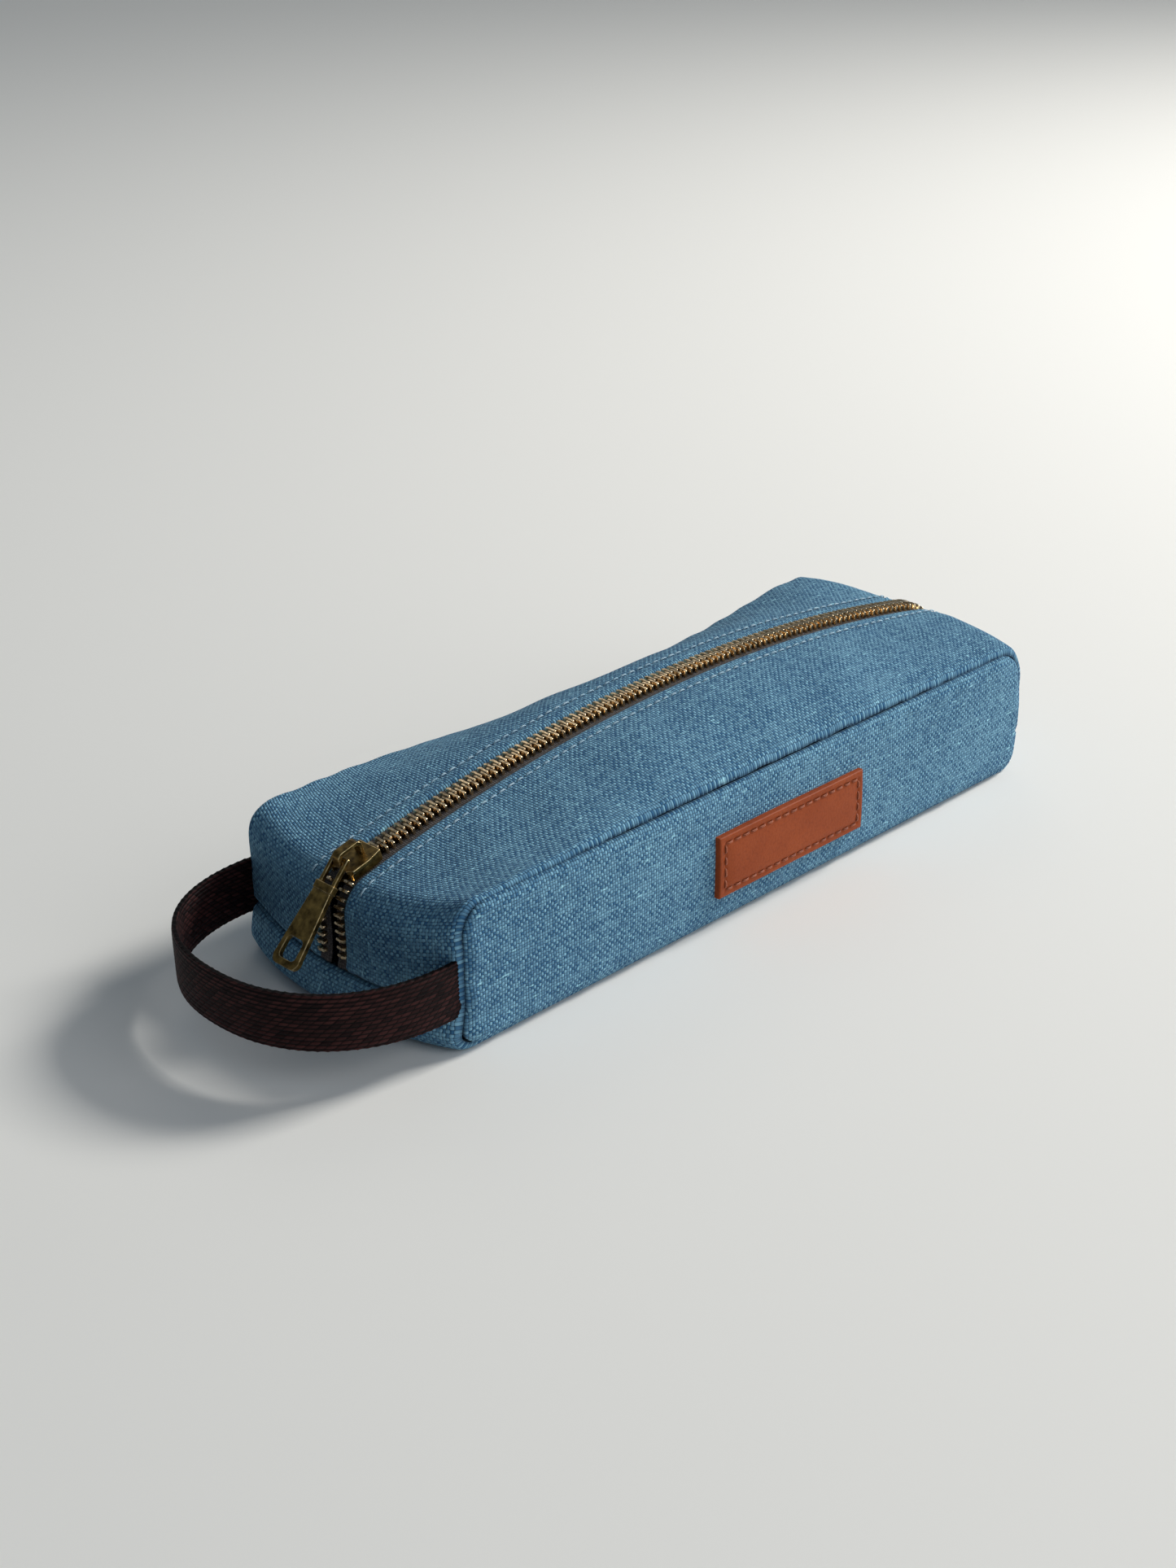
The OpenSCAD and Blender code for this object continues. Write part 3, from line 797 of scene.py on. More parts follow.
@dataclass
class CaseForm:
    """The case's soft form: a seam loop on each side and a fuller loop along the middle.

    Attributes:
        nose_r, tail_r, foot_r: Radii of the middle loop's corners.
        seam_top_r: Radius of the side seam's upper corners.
        seam_y: Sideways place of the side seams.
        shoulder: How far from a seam the cloth starts to turn in.
        cloth, step: The canvas's thickness and the spacing of its rows.
        sag, sag_x, sag_l: Depth, place and length of the far seam's sag.
        peak, peak_x, peak_l: Height, place and length of the rise behind it.
        toe, toe_z, toe_h: How far the foot of the nose stands out, its height and its spread.
        heel: How far the middle of the tail stands out.
        end_l: How far in from each end the toe and the heel reach.
        stitch_y, stitch_dip: Sideways place of the topstitching and its dip in the canvas.
        across_r: Radius of the top from side to side, at the crown.
    """

    nose_r: float = 9 * MM
    tail_r: float = 12 * MM
    foot_r: float = 5 * MM
    seam_top_r: float = 8 * MM
    seam_y: float = 38.3 * MM
    shoulder: float = 1.7 * MM
    cloth: float = 1.2 * MM
    step: float = 1.25 * MM
    sag: float = 6.5 * MM
    sag_x: float = 5 * MM
    sag_l: float = 62 * MM
    peak: float = 3.0 * MM
    peak_x: float = 96 * MM
    peak_l: float = 26 * MM
    toe: float = 4.0 * MM
    toe_z: float = 3.0 * MM
    toe_h: float = 7.0 * MM
    heel: float = 2.2 * MM
    end_l: float = 20 * MM
    stitch_y: float = 9 * MM
    stitch_dip: float = 0.24 * MM
    across_r: float = 76.4 * MM
    half_l: float = field(init=False)
    half_w: float = field(init=False)
    seam_h: float = field(init=False)
    end_x: float = field(init=False)
    crown: tuple[float, float] = field(init=False)
    arch_r: float = field(init=False)
    cross_z: float = field(init=False)
    nose: tuple[float, float, float] = field(init=False)
    tail: tuple[float, float, float] = field(init=False)
    broad: Ripple = field(init=False)
    fine: Ripple = field(init=False)
    pucker: Ripple = field(init=False)

    STRETCH_SAMPLES: ClassVar[int] = 4001
    ROUND_SAMPLES: ClassVar[int] = 9001
    FULLNESS: ClassVar[float] = 2.3
    EDGE_HOLD: ClassVar[float] = 0.6
    HELD_Y: ClassVar[float] = 10 * MM
    FLAT_H: ClassVar[float] = 14 * MM
    ZIP_Y: ClassVar[float] = 6 * MM
    ZIP_FADE: ClassVar[float] = 8 * MM
    BROAD: ClassVar[float] = 0.42 * MM
    FINE: ClassVar[float] = 0.16 * MM
    PUCKER: ClassVar[float] = 0.20 * MM
    PUCKER_W: ClassVar[float] = 5 * MM

    def __post_init__(self) -> None:
        """Reads the case's sizes from the frame and draws the cloth's unevenness."""
        low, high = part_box("side_panel_near")
        self.half_l, self.half_w, self.seam_h = high[0], -low[1], high[2]
        self.end_x = -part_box("bottom_panel")[0][0]
        self.cross_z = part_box("bottom_panel")[1][2]
        travel = joint("slider_travel")["pos_m"]
        self.crown = (travel[0], travel[2])
        self.arch_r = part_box("top_panel_near")[1][2] + self._crown_drop() - travel[2]
        self.nose = self._corner(-self.end_x + self.nose_r, self.nose_r)
        self.tail = self._corner(self.end_x - self.tail_r, self.tail_r)
        self.broad = Ripple(seed=11, waves=14, shortest=45 * MM, longest=120 * MM)
        self.fine = Ripple(seed=23, waves=18, shortest=12 * MM, longest=30 * MM)
        self.pucker = Ripple(seed=37, waves=12, shortest=6 * MM, longest=11 * MM)

    def _crown_drop(self) -> float:
        """How far the lip's highest point lies under the crown, at the zip's gap."""
        gap = abs(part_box("top_panel_near")[1][1])
        return gap * gap / (2 * self.across_r)

    def _corner(self, x: float, r: float) -> tuple[float, float, float]:
        """A corner arc's centre and the arch's slope where it starts, in radians."""
        run = x - self.crown[0]
        reach = self.arch_r - r
        return x, self.crown[1] + math.sqrt(reach * reach - run * run), math.asin(abs(run) / reach)

    def loop(self, t: np.ndarray, seam: bool) -> np.ndarray:
        """Points on the seam loop or the middle loop.

        Args:
            t: Stations from 0 to 8. Each whole step is one side or corner, from the front
                side upwards, over the top, down the back and along the base.
            seam: True for the side seam's loop, False for the middle loop.

        Returns:
            x and z of each station, in metres.
        """
        part = np.floor(t).astype(int) % 8
        share = t - np.floor(t)
        turn = math.pi / 2
        if seam:
            x0, r, foot = self.half_l, self.seam_top_r, self.foot_r
            high = self.seam_h - r
            arcs = {1: (-x0 + r, high, r, 2 * turn, turn), 3: (x0 - r, high, r, turn, 0.0),
                    5: (x0 - foot, foot, foot, 0.0, -turn),
                    7: (-x0 + foot, foot, foot, -turn, -2 * turn)}
            lines = {0: ((-x0, foot), (-x0, high)),
                     2: ((-x0 + r, self.seam_h), (x0 - r, self.seam_h)),
                     4: ((x0, high), (x0, foot)), 6: ((x0 - foot, 0.0), (-x0 + foot, 0.0))}
        else:
            x0, foot = self.end_x, self.foot_r
            nose_x, nose_z, nose_a = self.nose
            tail_x, tail_z, tail_a = self.tail
            arcs = {1: (nose_x, nose_z, self.nose_r, 2 * turn, turn + nose_a),
                    2: (*self.crown, self.arch_r, turn + nose_a, turn - tail_a),
                    3: (tail_x, tail_z, self.tail_r, turn - tail_a, 0.0),
                    5: (x0 - foot, foot, foot, 0.0, -turn),
                    7: (-x0 + foot, foot, foot, -turn, -2 * turn)}
            lines = {0: ((-x0, foot), (-x0, nose_z)), 4: ((x0, tail_z), (x0, foot)),
                     6: ((x0 - foot, 0.0), (-x0 + foot, 0.0))}
        out = np.zeros((*t.shape, 2))
        for key, (cx, cz, r, start, stop) in arcs.items():
            angle = start + (stop - start) * share
            here = part == key
            out[here] = np.stack([cx + r * np.cos(angle), cz + r * np.sin(angle)], -1)[here]
        for key, (a, b) in lines.items():
            here = part == key
            line = np.array(a) + (np.array(b) - np.array(a)) * share[..., None]
            out[here] = line[here]
        return out

    def stations(self, start: float, stop: float) -> np.ndarray:
        """Stations between two places, spaced evenly along the middle loop."""
        many = np.linspace(start, stop, self.STRETCH_SAMPLES)
        run = running_length(self.loop(many, seam=False))
        count = max(4, int(round(run[-1] / self.step)))
        return np.interp(np.linspace(0, run[-1], count + 1), run, many)

    def station_at_height(self, z: float, end: End) -> float:
        """The station on an end's upright side at a height."""
        side = (0.0, 1.0) if end is End.FRONT else (5.0, 4.0)
        low, high = self.foot_r, (self.nose if end is End.FRONT else self.tail)[1]
        share = (z - low) / (high - low)
        if share < 0:
            turn = math.asin(1 - z / self.foot_r) / (math.pi / 2)
            return -turn if end is End.FRONT else 5.0 + turn
        return side[0] + (side[1] - side[0]) * share

    def run_of(self, t: np.ndarray) -> np.ndarray:
        """Distance along the middle loop from its first station, in metres."""
        many = np.linspace(-1, 9, self.ROUND_SAMPLES)
        return np.interp(t, many, running_length(self.loop(np.mod(many, 8), seam=False)))

    def band(self, t: np.ndarray, y: np.ndarray, depth: float | np.ndarray = 0.0) -> np.ndarray:
        """The band of cloth that runs round the case between its side panels.

        Args:
            t: Stations of the rows.
            y: Sideways places of the columns, in metres.
            depth: How far under the outer face the points lie.

        Returns:
            Rows by columns by three points.
        """
        wrapped = np.mod(t, 8)
        seam, middle = self.loop(wrapped, True), self.loop(wrapped, False)
        share = np.clip(np.abs(y) / self.half_w, 0, 1)
        full = (1 - share**self.FULLNESS)[None, :, None]
        flat = seam[:, None, :] + (middle - seam)[:, None, :] * full
        grid = np.empty((len(t), len(y), 3))
        grid[..., 0], grid[..., 2] = flat[..., 0], flat[..., 1]
        grid[..., 1] = y[None, :]
        grid = self.settle(grid)
        normal = surface_normals(grid)
        outwards = grid - np.array([0, 0, self.seam_h / 2])
        normal *= np.sign((normal * outwards).sum(-1, keepdims=True))
        normal[..., 1] *= 1 - share**6
        normal /= np.linalg.norm(normal, axis=2, keepdims=True)
        return grid + normal * (self._unevenness(grid, share) - depth)[..., None]

    def settle(self, points: np.ndarray) -> np.ndarray:
        """Lets the far seam sag, and both ends fill out as a soft case does.

        Args:
            points: Points of the plain form.

        Returns:
            The points with their heights settled.
        """
        x, y, z = points[..., 0], points[..., 1], points[..., 2]
        across = np.clip((y - self.HELD_Y) / (self.half_w - self.HELD_Y), 0, 1)
        hold = across**2 * (3 - 2 * across) * np.clip(z / self.seam_h, 0, 1.2)
        dip = np.exp(-(((x - self.sag_x) / self.sag_l) ** 2))
        peak = np.exp(-(((x - self.peak_x) / self.peak_l) ** 2))
        out = points.copy()
        out[..., 2] += hold * (self.peak * peak - self.sag * dip)
        front, back = (np.clip((sign * x - self.half_l) / self.end_l + 1, 0, 1) ** 2
                       for sign in (-1, 1))
        middle = 1 - self.EDGE_HOLD * np.clip(np.abs(y) / self.half_w, 0, 1) ** 2
        low = np.exp(-(((z - self.toe_z) / self.toe_h) ** 2))
        out[..., 0] -= self.toe * front * middle * low
        out[..., 0] += self.heel * back * np.sin(math.pi * np.clip(z / self.seam_h, 0, 1))
        return out

    def _unevenness(self, grid: np.ndarray, share: np.ndarray) -> np.ndarray:
        """How far the cloth stands out from its plain form at each point."""
        off_base = np.clip(grid[..., 2] / self.FLAT_H, 0, 1)
        free = off_base * np.clip((np.abs(grid[..., 1]) - self.ZIP_Y) / self.ZIP_FADE, 0, 1)
        loose = self.BROAD * self.broad.at(grid) + self.FINE * self.fine.at(grid)
        near_seam = np.exp(-(((1 - share) * self.half_w / self.PUCKER_W) ** 2))[None, :]
        gathered = off_base * near_seam * self.PUCKER * self.pucker.at(grid)
        return free * loose * (1 - near_seam) + gathered

    def groove(self, distance: np.ndarray) -> np.ndarray:
        """How far the cloth dips within a shoulder's width of a seam."""
        d = np.clip(distance, 0, self.shoulder)
        return self.shoulder - np.sqrt(np.maximum(self.shoulder**2 - (self.shoulder - d) ** 2, 0))


def joint(name: str) -> dict:
    """A joint of the frame by name."""
    return next(j for j in frame["joints"] if j["name"] == name)


def spread(start: float, stop: float, step: float, fine: Sequence[float],
           edge: float) -> np.ndarray:
    """Places from start to stop, closer together near the named ones.

    Args:
        start: First place.
        stop: Last place.
        step: The plain spacing.
        fine: Places that need close spacing.
        edge: How far the close spacing reaches.

    Returns:
        The places in order.
    """
    low, high = min(start, stop), max(start, stop)
    places = list(np.linspace(low, high, max(3, int(round((high - low) / step)) + 1)))
    for centre in fine:
        close = centre + edge * np.linspace(-1, 1, 15)
        places += [place for place in close if low <= place <= high]
    places = np.unique(np.round(places, 6))
    return places if stop > start else places[::-1]


class CanvasShell:
    """The blue canvas: side panels, bottom panel and the two top panels with the mouth."""

    LEAST_CLOTH: ClassVar[float] = 0.35 * MM
    SEAM_REACH: ClassVar[float] = 2 * MM
    BOTTOM_STEP: ClassVar[float] = 1.6 * MM
    TOP_STEP: ClassVar[float] = 1.25 * MM
    CROSS_SHARE: ClassVar[float] = 0.9
    FOLD_SHARE: ClassVar[float] = 0.45
    STITCH_W: ClassVar[float] = 0.9 * MM
    ROLL: ClassVar[float] = 1.4 * MM
    ROLL_REACH: ClassVar[float] = 1.7
    PUFF: ClassVar[float] = 1.0 * MM
    SIDE_WAVE: ClassVar[float] = 0.30 * MM
    SIDE_PUCKER: ClassVar[float] = 0.16 * MM
    PUCKER_W: ClassVar[float] = 3 * MM
    CUT_OFFSET: ClassVar[tuple[float, float]] = (0.31, 0.17)

    def __init__(self, form: CaseForm, wardrobe: Wardrobe) -> None:
        """Keeps the form and the finishes, and finds the seams' places."""
        self.form = form
        self.wardrobe = wardrobe
        self.gap = abs(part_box("top_panel_near")[1][1])
        self.front = form.station_at_height(form.cross_z, End.FRONT)
        self.back = form.station_at_height(form.cross_z, End.BACK)
        self.crown = 2.0 + form.nose[2] / (form.nose[2] + form.tail[2])

    def panel(self, name: str, t: np.ndarray, y: np.ndarray, dips: Callable,
              rows: slice = slice(None)) -> bpy.types.Object:
        """Makes one thick stretch of the band.

        Args:
            name: The piece's name.
            t: Stations of the whole stretch's rows.
            y: Sideways places of its columns.
            dips: Gives the outer face's dip from the rows' run and the columns' place.
            rows: The rows that this piece keeps.

        Returns:
            The piece.
        """
        run = self.form.run_of(t)
        dip = dips(run[:, None], y[None, :])
        outer = self.form.band(t, y, dip)
        inner = self.form.band(t, y, np.maximum(self.form.cloth, dip + self.LEAST_CLOTH))
        piece = thick_sheet(name, outer[rows], inner[rows], cloth_map(run, y)[rows])
        # Seam depth, for the cloth's painted seam shade.
        shade = (dip / self.form.shoulder)[rows]
        paint_seams(piece, np.concatenate([shade.ravel(), shade.ravel()]))
        return self.wardrobe.dress(piece, Wardrobe.CANVAS)

    def bottom(self) -> bpy.types.Object:
        """The bottom panel, which rises up both ends to the cross seams."""
        form = self.form
        t = form.stations(self.back, 8 + self.front)
        y = spread(-form.seam_y, form.seam_y, self.BOTTOM_STEP, (-form.seam_y, form.seam_y),
                   self.SEAM_REACH)
        ends = form.run_of(t)[[0, -1]]

        def dips(run: np.ndarray, place: np.ndarray) -> np.ndarray:
            """Dips along the side seams and the cross seams."""
            side = form.groove(form.seam_y - np.abs(place))
            cross = form.groove(np.minimum(run - ends[0], ends[1] - run))
            return np.maximum(side, cross * self.CROSS_SHARE)

        piece = self.panel("bottom_canvas", t, y, dips)
        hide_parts("bottom_panel")
        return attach(piece, "case")

    def top(self, side: Side, end: End) -> bpy.types.Object:
        """Half of one top panel, from a cross seam to the crown.

        Args:
            side: Which side of the zip.
            end: Which end of the case.

        Returns:
            The piece.
        """
        form = self.form
        ahead, behind = form.stations(self.front, self.crown), form.stations(self.crown, self.back)
        t = np.concatenate([ahead, behind[1:]])
        rows = slice(0, len(ahead)) if end is End.FRONT else slice(len(ahead) - 1, None)
        inner, outer = side.value * self.gap, side.value * form.seam_y
        y = spread(inner, outer, self.TOP_STEP, (inner, outer), self.SEAM_REACH)
        seams = form.run_of(t)[[0, -1]]

        def dips(run: np.ndarray, place: np.ndarray) -> np.ndarray:
            """Dips along the side seam, the cross seams and the fold beside the zip."""
            seam = form.groove(form.seam_y - np.abs(place))
            fold = form.groove(np.abs(place) - self.gap) * self.FOLD_SHARE
            cross = form.groove(np.minimum(run - seams[0], seams[1] - run)) * self.CROSS_SHARE
            off_stitch = (np.abs(place) - form.stitch_y) / self.STITCH_W
            stitched = form.stitch_dip * np.exp(-(off_stitch**2))
            return np.maximum(np.maximum(seam, fold), cross) + stitched

        piece = self.panel(f"top_canvas_{side.word}_{end.word}", t, y, dips, rows)
        end_panel = "nose_panel" if end is End.FRONT else "tail_panel"
        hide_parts(f"{end_panel}_{side.word}", f"top_panel_{side.word}")
        return bend_with_lip(piece)

    def side(self, side: Side) -> bpy.types.Object:
        """One side panel, a slightly puffed plate inside its seam loop."""
        form = self.form
        t = form.stations(0.0, 8.0)[:-1]
        loop = form.loop(t, True)
        middle = np.stack([np.clip(loop[:, 0], -form.half_l + form.seam_h / 2,
                                   form.half_l - form.seam_h / 2),
                           np.full(len(t), form.seam_h / 2)], -1)
        reach = form.seam_h / 2
        wide = self.ROLL_REACH * form.shoulder
        inset = np.concatenate([form.shoulder + wide * np.linspace(0, 1, 11) ** 1.5,
                                np.linspace(form.shoulder + wide, reach, 15)[1:]])
        share = (inset / reach)[None, :, None]
        flat = loop[:, None, :] + (middle - loop)[:, None, :] * share
        rise = 1 - np.clip((inset - form.shoulder) / wide, 0, 1)
        level = self.ROLL * np.sqrt(1 - rise**2)
        body = self.side_body(inset)
        ends = 1 - np.clip(np.abs(flat[..., 0]) / form.half_l, 0, 1) ** 6
        puff = self.PUFF * body[None, :] * ends
        grid = np.empty((*flat.shape[:2], 3))
        grid[..., 0], grid[..., 2] = flat[..., 0], flat[..., 1]
        outside, middle_plane = (np.stack([grid[..., 0], np.full_like(puff, y), grid[..., 2]], -1)
                                 for y in (side.value * form.half_w, 0.0))
        wave = self.SIDE_WAVE * form.broad.at(outside)
        pucker = self.SIDE_PUCKER * form.pucker.at(middle_plane)
        near = np.exp(-(((inset - form.shoulder - wide) / self.PUCKER_W) ** 2))[None, :]
        out = form.seam_y + level[None, :] + puff + wave * body[None, :] + pucker * near
        grid[..., 1] = side.value * out
        grid = form.settle(grid)
        inner = grid.copy()
        inner[..., 1] -= side.value * form.cloth
        count, rings = grid.shape[:2]
        number = np.arange(count * rings).reshape(count, rings)
        after = np.roll(number, -1, 0)
        top = np.stack([number[:, :-1], after[:, :-1], after[:, 1:], number[:, 1:]], -1)
        top = top.reshape(-1, 4)
        under = top[:, ::-1] + count * rings
        wall = np.stack([number[:, 0], after[:, 0], after[:, 0] + count * rings,
                         number[:, 0] + count * rings], -1)
        points = np.concatenate([grid.reshape(-1, 3), inner.reshape(-1, 3)])
        cloth = points[:, [0, 2]] + np.array(self.CUT_OFFSET)
        piece = new_piece(f"side_canvas_{side.word}", points,
                          np.concatenate([top, under, wall]).tolist(), cloth)
        # Depth in the seam's roll, for the cloth's painted seam shade.
        paint_seams(piece, np.tile(1 - level / self.ROLL, 2 * count))
        tidy_normals(piece)
        self.wardrobe.dress(piece, Wardrobe.CANVAS)
        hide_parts(f"side_panel_{side.word}")
        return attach(piece, "case")

    def side_body(self, inset: np.ndarray) -> np.ndarray:
        """How full a side panel is, from 0 at its seam to 1 at its middle."""
        return np.sin(np.clip(inset / (self.form.seam_h / 2), 0, 1) * math.pi / 2) ** 0.8

    def build(self) -> list[bpy.types.Object]:
        """Makes every canvas panel."""
        made = [self.bottom()]
        for side in Side:
            made.append(self.side(side))
            made += [self.top(side, end) for end in End]
        return made


def bend_with_lip(piece: bpy.types.Object) -> bpy.types.Object:
    """Bakes a piece's transform into its mesh.

    Args:
        piece: A finished mesh piece.

    Returns:
        The piece.
    """
    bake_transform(piece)
    return piece


# ---------------------------------------------------------------- repeated small pieces


class Scatter:
    """A geometry-nodes tree that puts a template at each point of a path."""

    def __init__(self, name: str) -> None:
        """Builds the tree with its named inputs."""
        self.group = bpy.data.node_groups.new(name, "GeometryNodeTree")
        made = self.group.interface.new_socket
        made("Points", in_out="INPUT", socket_type="NodeSocketGeometry")
        made("Template", in_out="INPUT", socket_type="NodeSocketObject")
        made("Length", in_out="INPUT", socket_type="NodeSocketFloat")
        made("Unevenness", in_out="INPUT", socket_type="NodeSocketFloat")
        made("Seed", in_out="INPUT", socket_type="NodeSocketInt")
        made("Finish", in_out="INPUT", socket_type="NodeSocketMaterial")
        made("Pieces", in_out="OUTPUT", socket_type="NodeSocketGeometry")
        t = NodeTree(self.group)
        given = t.add("NodeGroupInput").outputs
        template = t.add("GeometryNodeObjectInfo", {"Object": given["Template"]})
        turn = t.add("GeometryNodeInputNamedAttribute", {"Name": "turn"}, data_type="FLOAT_VECTOR")
        low = t.math("SUBTRACT", 1.0, given["Unevenness"])
        high = t.math("ADD", 1.0, given["Unevenness"])
        jitter = t.add("FunctionNodeRandomValue", {2: low, 3: high, "Seed": given["Seed"]},
                       data_type="FLOAT")
        scale = t.add("ShaderNodeCombineXYZ",
                      {0: t.math("MULTIPLY", given["Length"], jitter.outputs[1]), 1: 1.0, 2: 1.0})
        placed = t.add("GeometryNodeInstanceOnPoints",
                       {"Points": given["Points"], "Instance": template.outputs["Geometry"],
                        "Rotation": turn.outputs[0], "Scale": scale.outputs[0]})
        real = t.add("GeometryNodeRealizeInstances", {0: placed.outputs[0]})
        painted = t.add("GeometryNodeSetMaterial", {0: real.outputs[0], 2: given["Finish"]})
        t.add("NodeGroupOutput", {0: painted.outputs[0]})

    def run(self, name: str, points: np.ndarray, turns: np.ndarray, template: bpy.types.Object,
            finish: bpy.types.Material, length: float = 1.0, unevenness: float = 0.0,
            seed: int = 1) -> bpy.types.Object:
        """Makes one plain mesh of the template at every point.

        Args:
            name: The piece's name.
            points: Places in metres.
            turns: XYZ Euler angles of each copy.
            template: The object that is repeated.
            finish: The material of every copy.
            length: Scale of each copy along its own x.
            unevenness: Random share by which that scale differs.
            seed: Seed of the unevenness.

        Returns:
            The piece.
        """
        piece = new_piece(name, points, [])
        turn = piece.data.attributes.new("turn", "FLOAT_VECTOR", "POINT")
        turn.data.foreach_set("vector", turns.astype(np.float32).ravel())
        modifier = piece.modifiers.new("scatter", "NODES")
        modifier.node_group = self.group
        give_inputs(modifier, {"Template": template, "Length": length, "Unevenness": unevenness,
                               "Seed": seed, "Finish": finish})
        apply_modifiers(piece)
        leftover = piece.data.attributes.get("turn")
        if leftover:
            piece.data.attributes.remove(leftover)
        return piece


def frame_turns(along: np.ndarray, up: np.ndarray) -> np.ndarray:
    """XYZ Euler angles that turn x to along and z to up, for each row."""
    out = []
    for x_axis, z_axis in zip(along, up):
        x_dir = Vector(x_axis).normalized()
        y_dir = Vector(z_axis).cross(x_dir).normalized()
        z_dir = x_dir.cross(y_dir)
        out.append(Matrix((x_dir, y_dir, z_dir)).transposed().to_euler("XYZ")[:])
    return np.array(out)


def stitch_template(length: float, width: float, height: float) -> bpy.types.Object:
    """A short thread that rises out of the cloth and dips back in."""
    sides, rings = 6, 7
    sink, taper = 0.35, 0.55
    points, faces = [], []
    for i in range(rings):
        share = i / (rings - 1) * 2 - 1
        lift = height * (1 - share**4) - sink * height
        fat = 0.5 * (1 - taper * share**6)
        for k in range(sides):
            angle = 2 * math.pi * k / sides
            points.append((share * length / 2, fat * width * math.cos(angle),
                           lift + fat * height * math.sin(angle)))
    for i in range(rings - 1):
        for k in range(sides):
            after = (k + 1) % sides
            faces.append((i * sides + k, i * sides + after, (i + 1) * sides + after,
                          (i + 1) * sides + k))
    faces.append(tuple(range(sides))[::-1])
    faces.append(tuple((rings - 1) * sides + k for k in range(sides)))
    return tidy_normals(new_piece("stitch_template", np.array(points), faces))


def discard(piece: bpy.types.Object) -> None:
    """Removes a template that is no longer needed."""
    mesh = piece.data
    bpy.data.objects.remove(piece)
    bpy.data.meshes.remove(mesh)


# ---------------------------------------------------------------- the zip


@dataclass
class ZipLine:
    """The line that the zip follows over the middle of the case.

    Distances run from the arch's top, positive to the front.
    """

    form: CaseForm
    pitch: float = 2.1 * MM
    chain_w: float = 5.8 * MM
    tape_depth: float = 1.25 * MM
    tape_t: float = 0.5 * MM
    proud: float = 0.8 * MM
    slider_half: float = 5 * MM
    slider_setback: float = 2.5 * MM
    nose_s: float = field(init=False)
    tail_s: float = field(init=False)
    nose_arc: float = field(init=False)
    slider_front: float = field(init=False)
    slider_back: float = field(init=False)
    front_end: float = field(init=False)
    last_tooth: float = field(init=False)

    TOOTH_MARGIN: ClassVar[float] = 1.5 * MM

    def __post_init__(self) -> None:
        """Finds the slider's place and the ends of the teeth along the line."""
        form = self.form
        self.nose_s = form.arch_r * form.nose[2]
        self.tail_s = form.arch_r * form.tail[2]
        slider = self.nose_s - self.slider_setback
        self.slider_front, self.slider_back = slider + self.slider_half, slider - self.slider_half
        self.nose_arc = form.nose_r * (math.pi / 2 - form.nose[2])
        self.front_end = self.nose_s + self.nose_arc + form.nose[1] - form.cross_z
        tail_arc = form.tail_r * (math.pi / 2 - form.tail[2])
        tail_end = self.tail_s + tail_arc + form.tail[1] - form.cross_z
        self.last_tooth = self.TOOTH_MARGIN - tail_end

    def place(self, s: np.ndarray) -> tuple[np.ndarray, np.ndarray, np.ndarray]:
        """Points and directions along the line.

        Args:
            s: Distances along the line.

        Returns:
            The points, the directions towards the tail and the directions outwards.
        """
        form = self.form
        front, back = s > self.nose_s, s < -self.tail_s
        nose_turn = np.minimum(math.pi / 2, form.nose[2] + (s - self.nose_s) / form.nose_r)
        tail_turn = -np.minimum(math.pi / 2, form.tail[2] + (-s - self.tail_s) / form.tail_r)
        angle = np.where(front, nose_turn, np.where(back, tail_turn, s / form.arch_r))
        x = np.where(front, form.nose[0], np.where(back, form.tail[0], form.crown[0]))
        nose_z = form.nose[1] - np.maximum(0, s - self.nose_s - self.nose_arc)
        z = np.where(front, nose_z, np.where(back, form.tail[1], form.crown[1]))
        r = np.where(front, form.nose_r, np.where(back, form.tail_r, form.arch_r))
        flat = np.zeros_like(angle)
        points = np.stack([x - r * np.sin(angle), flat, z + r * np.cos(angle)], -1)
        along = np.stack([np.cos(angle), flat, np.sin(angle)], -1)
        up = np.stack([-np.sin(angle), flat, np.cos(angle)], -1)
        return points, along, up


def prism(name: str, outline: Sequence[tuple[float, float]], low: float,
          high: Callable[[float], float]) -> bpy.types.Object:
    """Makes a solid from a flat outline and a top height that may vary.

    Args:
        name: The piece's name.
        outline: Corners in order, in metres.
        low: Height of the flat underside.
        high: Height of the top, from a corner's y.

    Returns:
        The piece.
    """
    count = len(outline)
    points = [(x, y, low) for x, y in outline] + [(x, y, high(y)) for x, y in outline]
    faces = [tuple(range(count)), tuple(range(count, 2 * count))]
    faces += [(i, (i + 1) % count, (i + 1) % count + count, i + count) for i in range(count)]
    return tidy_normals(new_piece(name, np.array(points), faces))


def cast_copy(node: str, name: str, grain: float, rounds: int) -> bpy.types.Object:
    """Copies a CAD node as a fine, even mesh with its edges worn round, as cast metal has.

    Args:
        node: The CAD node, which the copy replaces.
        name: The piece's name.
        grain: Size of the new mesh's faces.
        rounds: How many times the surface is smoothed.

    Returns:
        The piece.
    """
    mesh = bpy.data.objects[node].data.copy()
    mesh.name = name
    piece = link_new(name, mesh)
    tidy_normals(piece, merge=2e-6)
    even = piece.modifiers.new("even", "REMESH")
    even.mode = "VOXEL"
    even.voxel_size = grain
    worn = piece.modifiers.new("worn", "SMOOTH")
    worn.factor, worn.iterations = 0.5, rounds
    apply_modifiers(piece)
    shade_smooth(piece.data)
    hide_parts(node)
    return piece


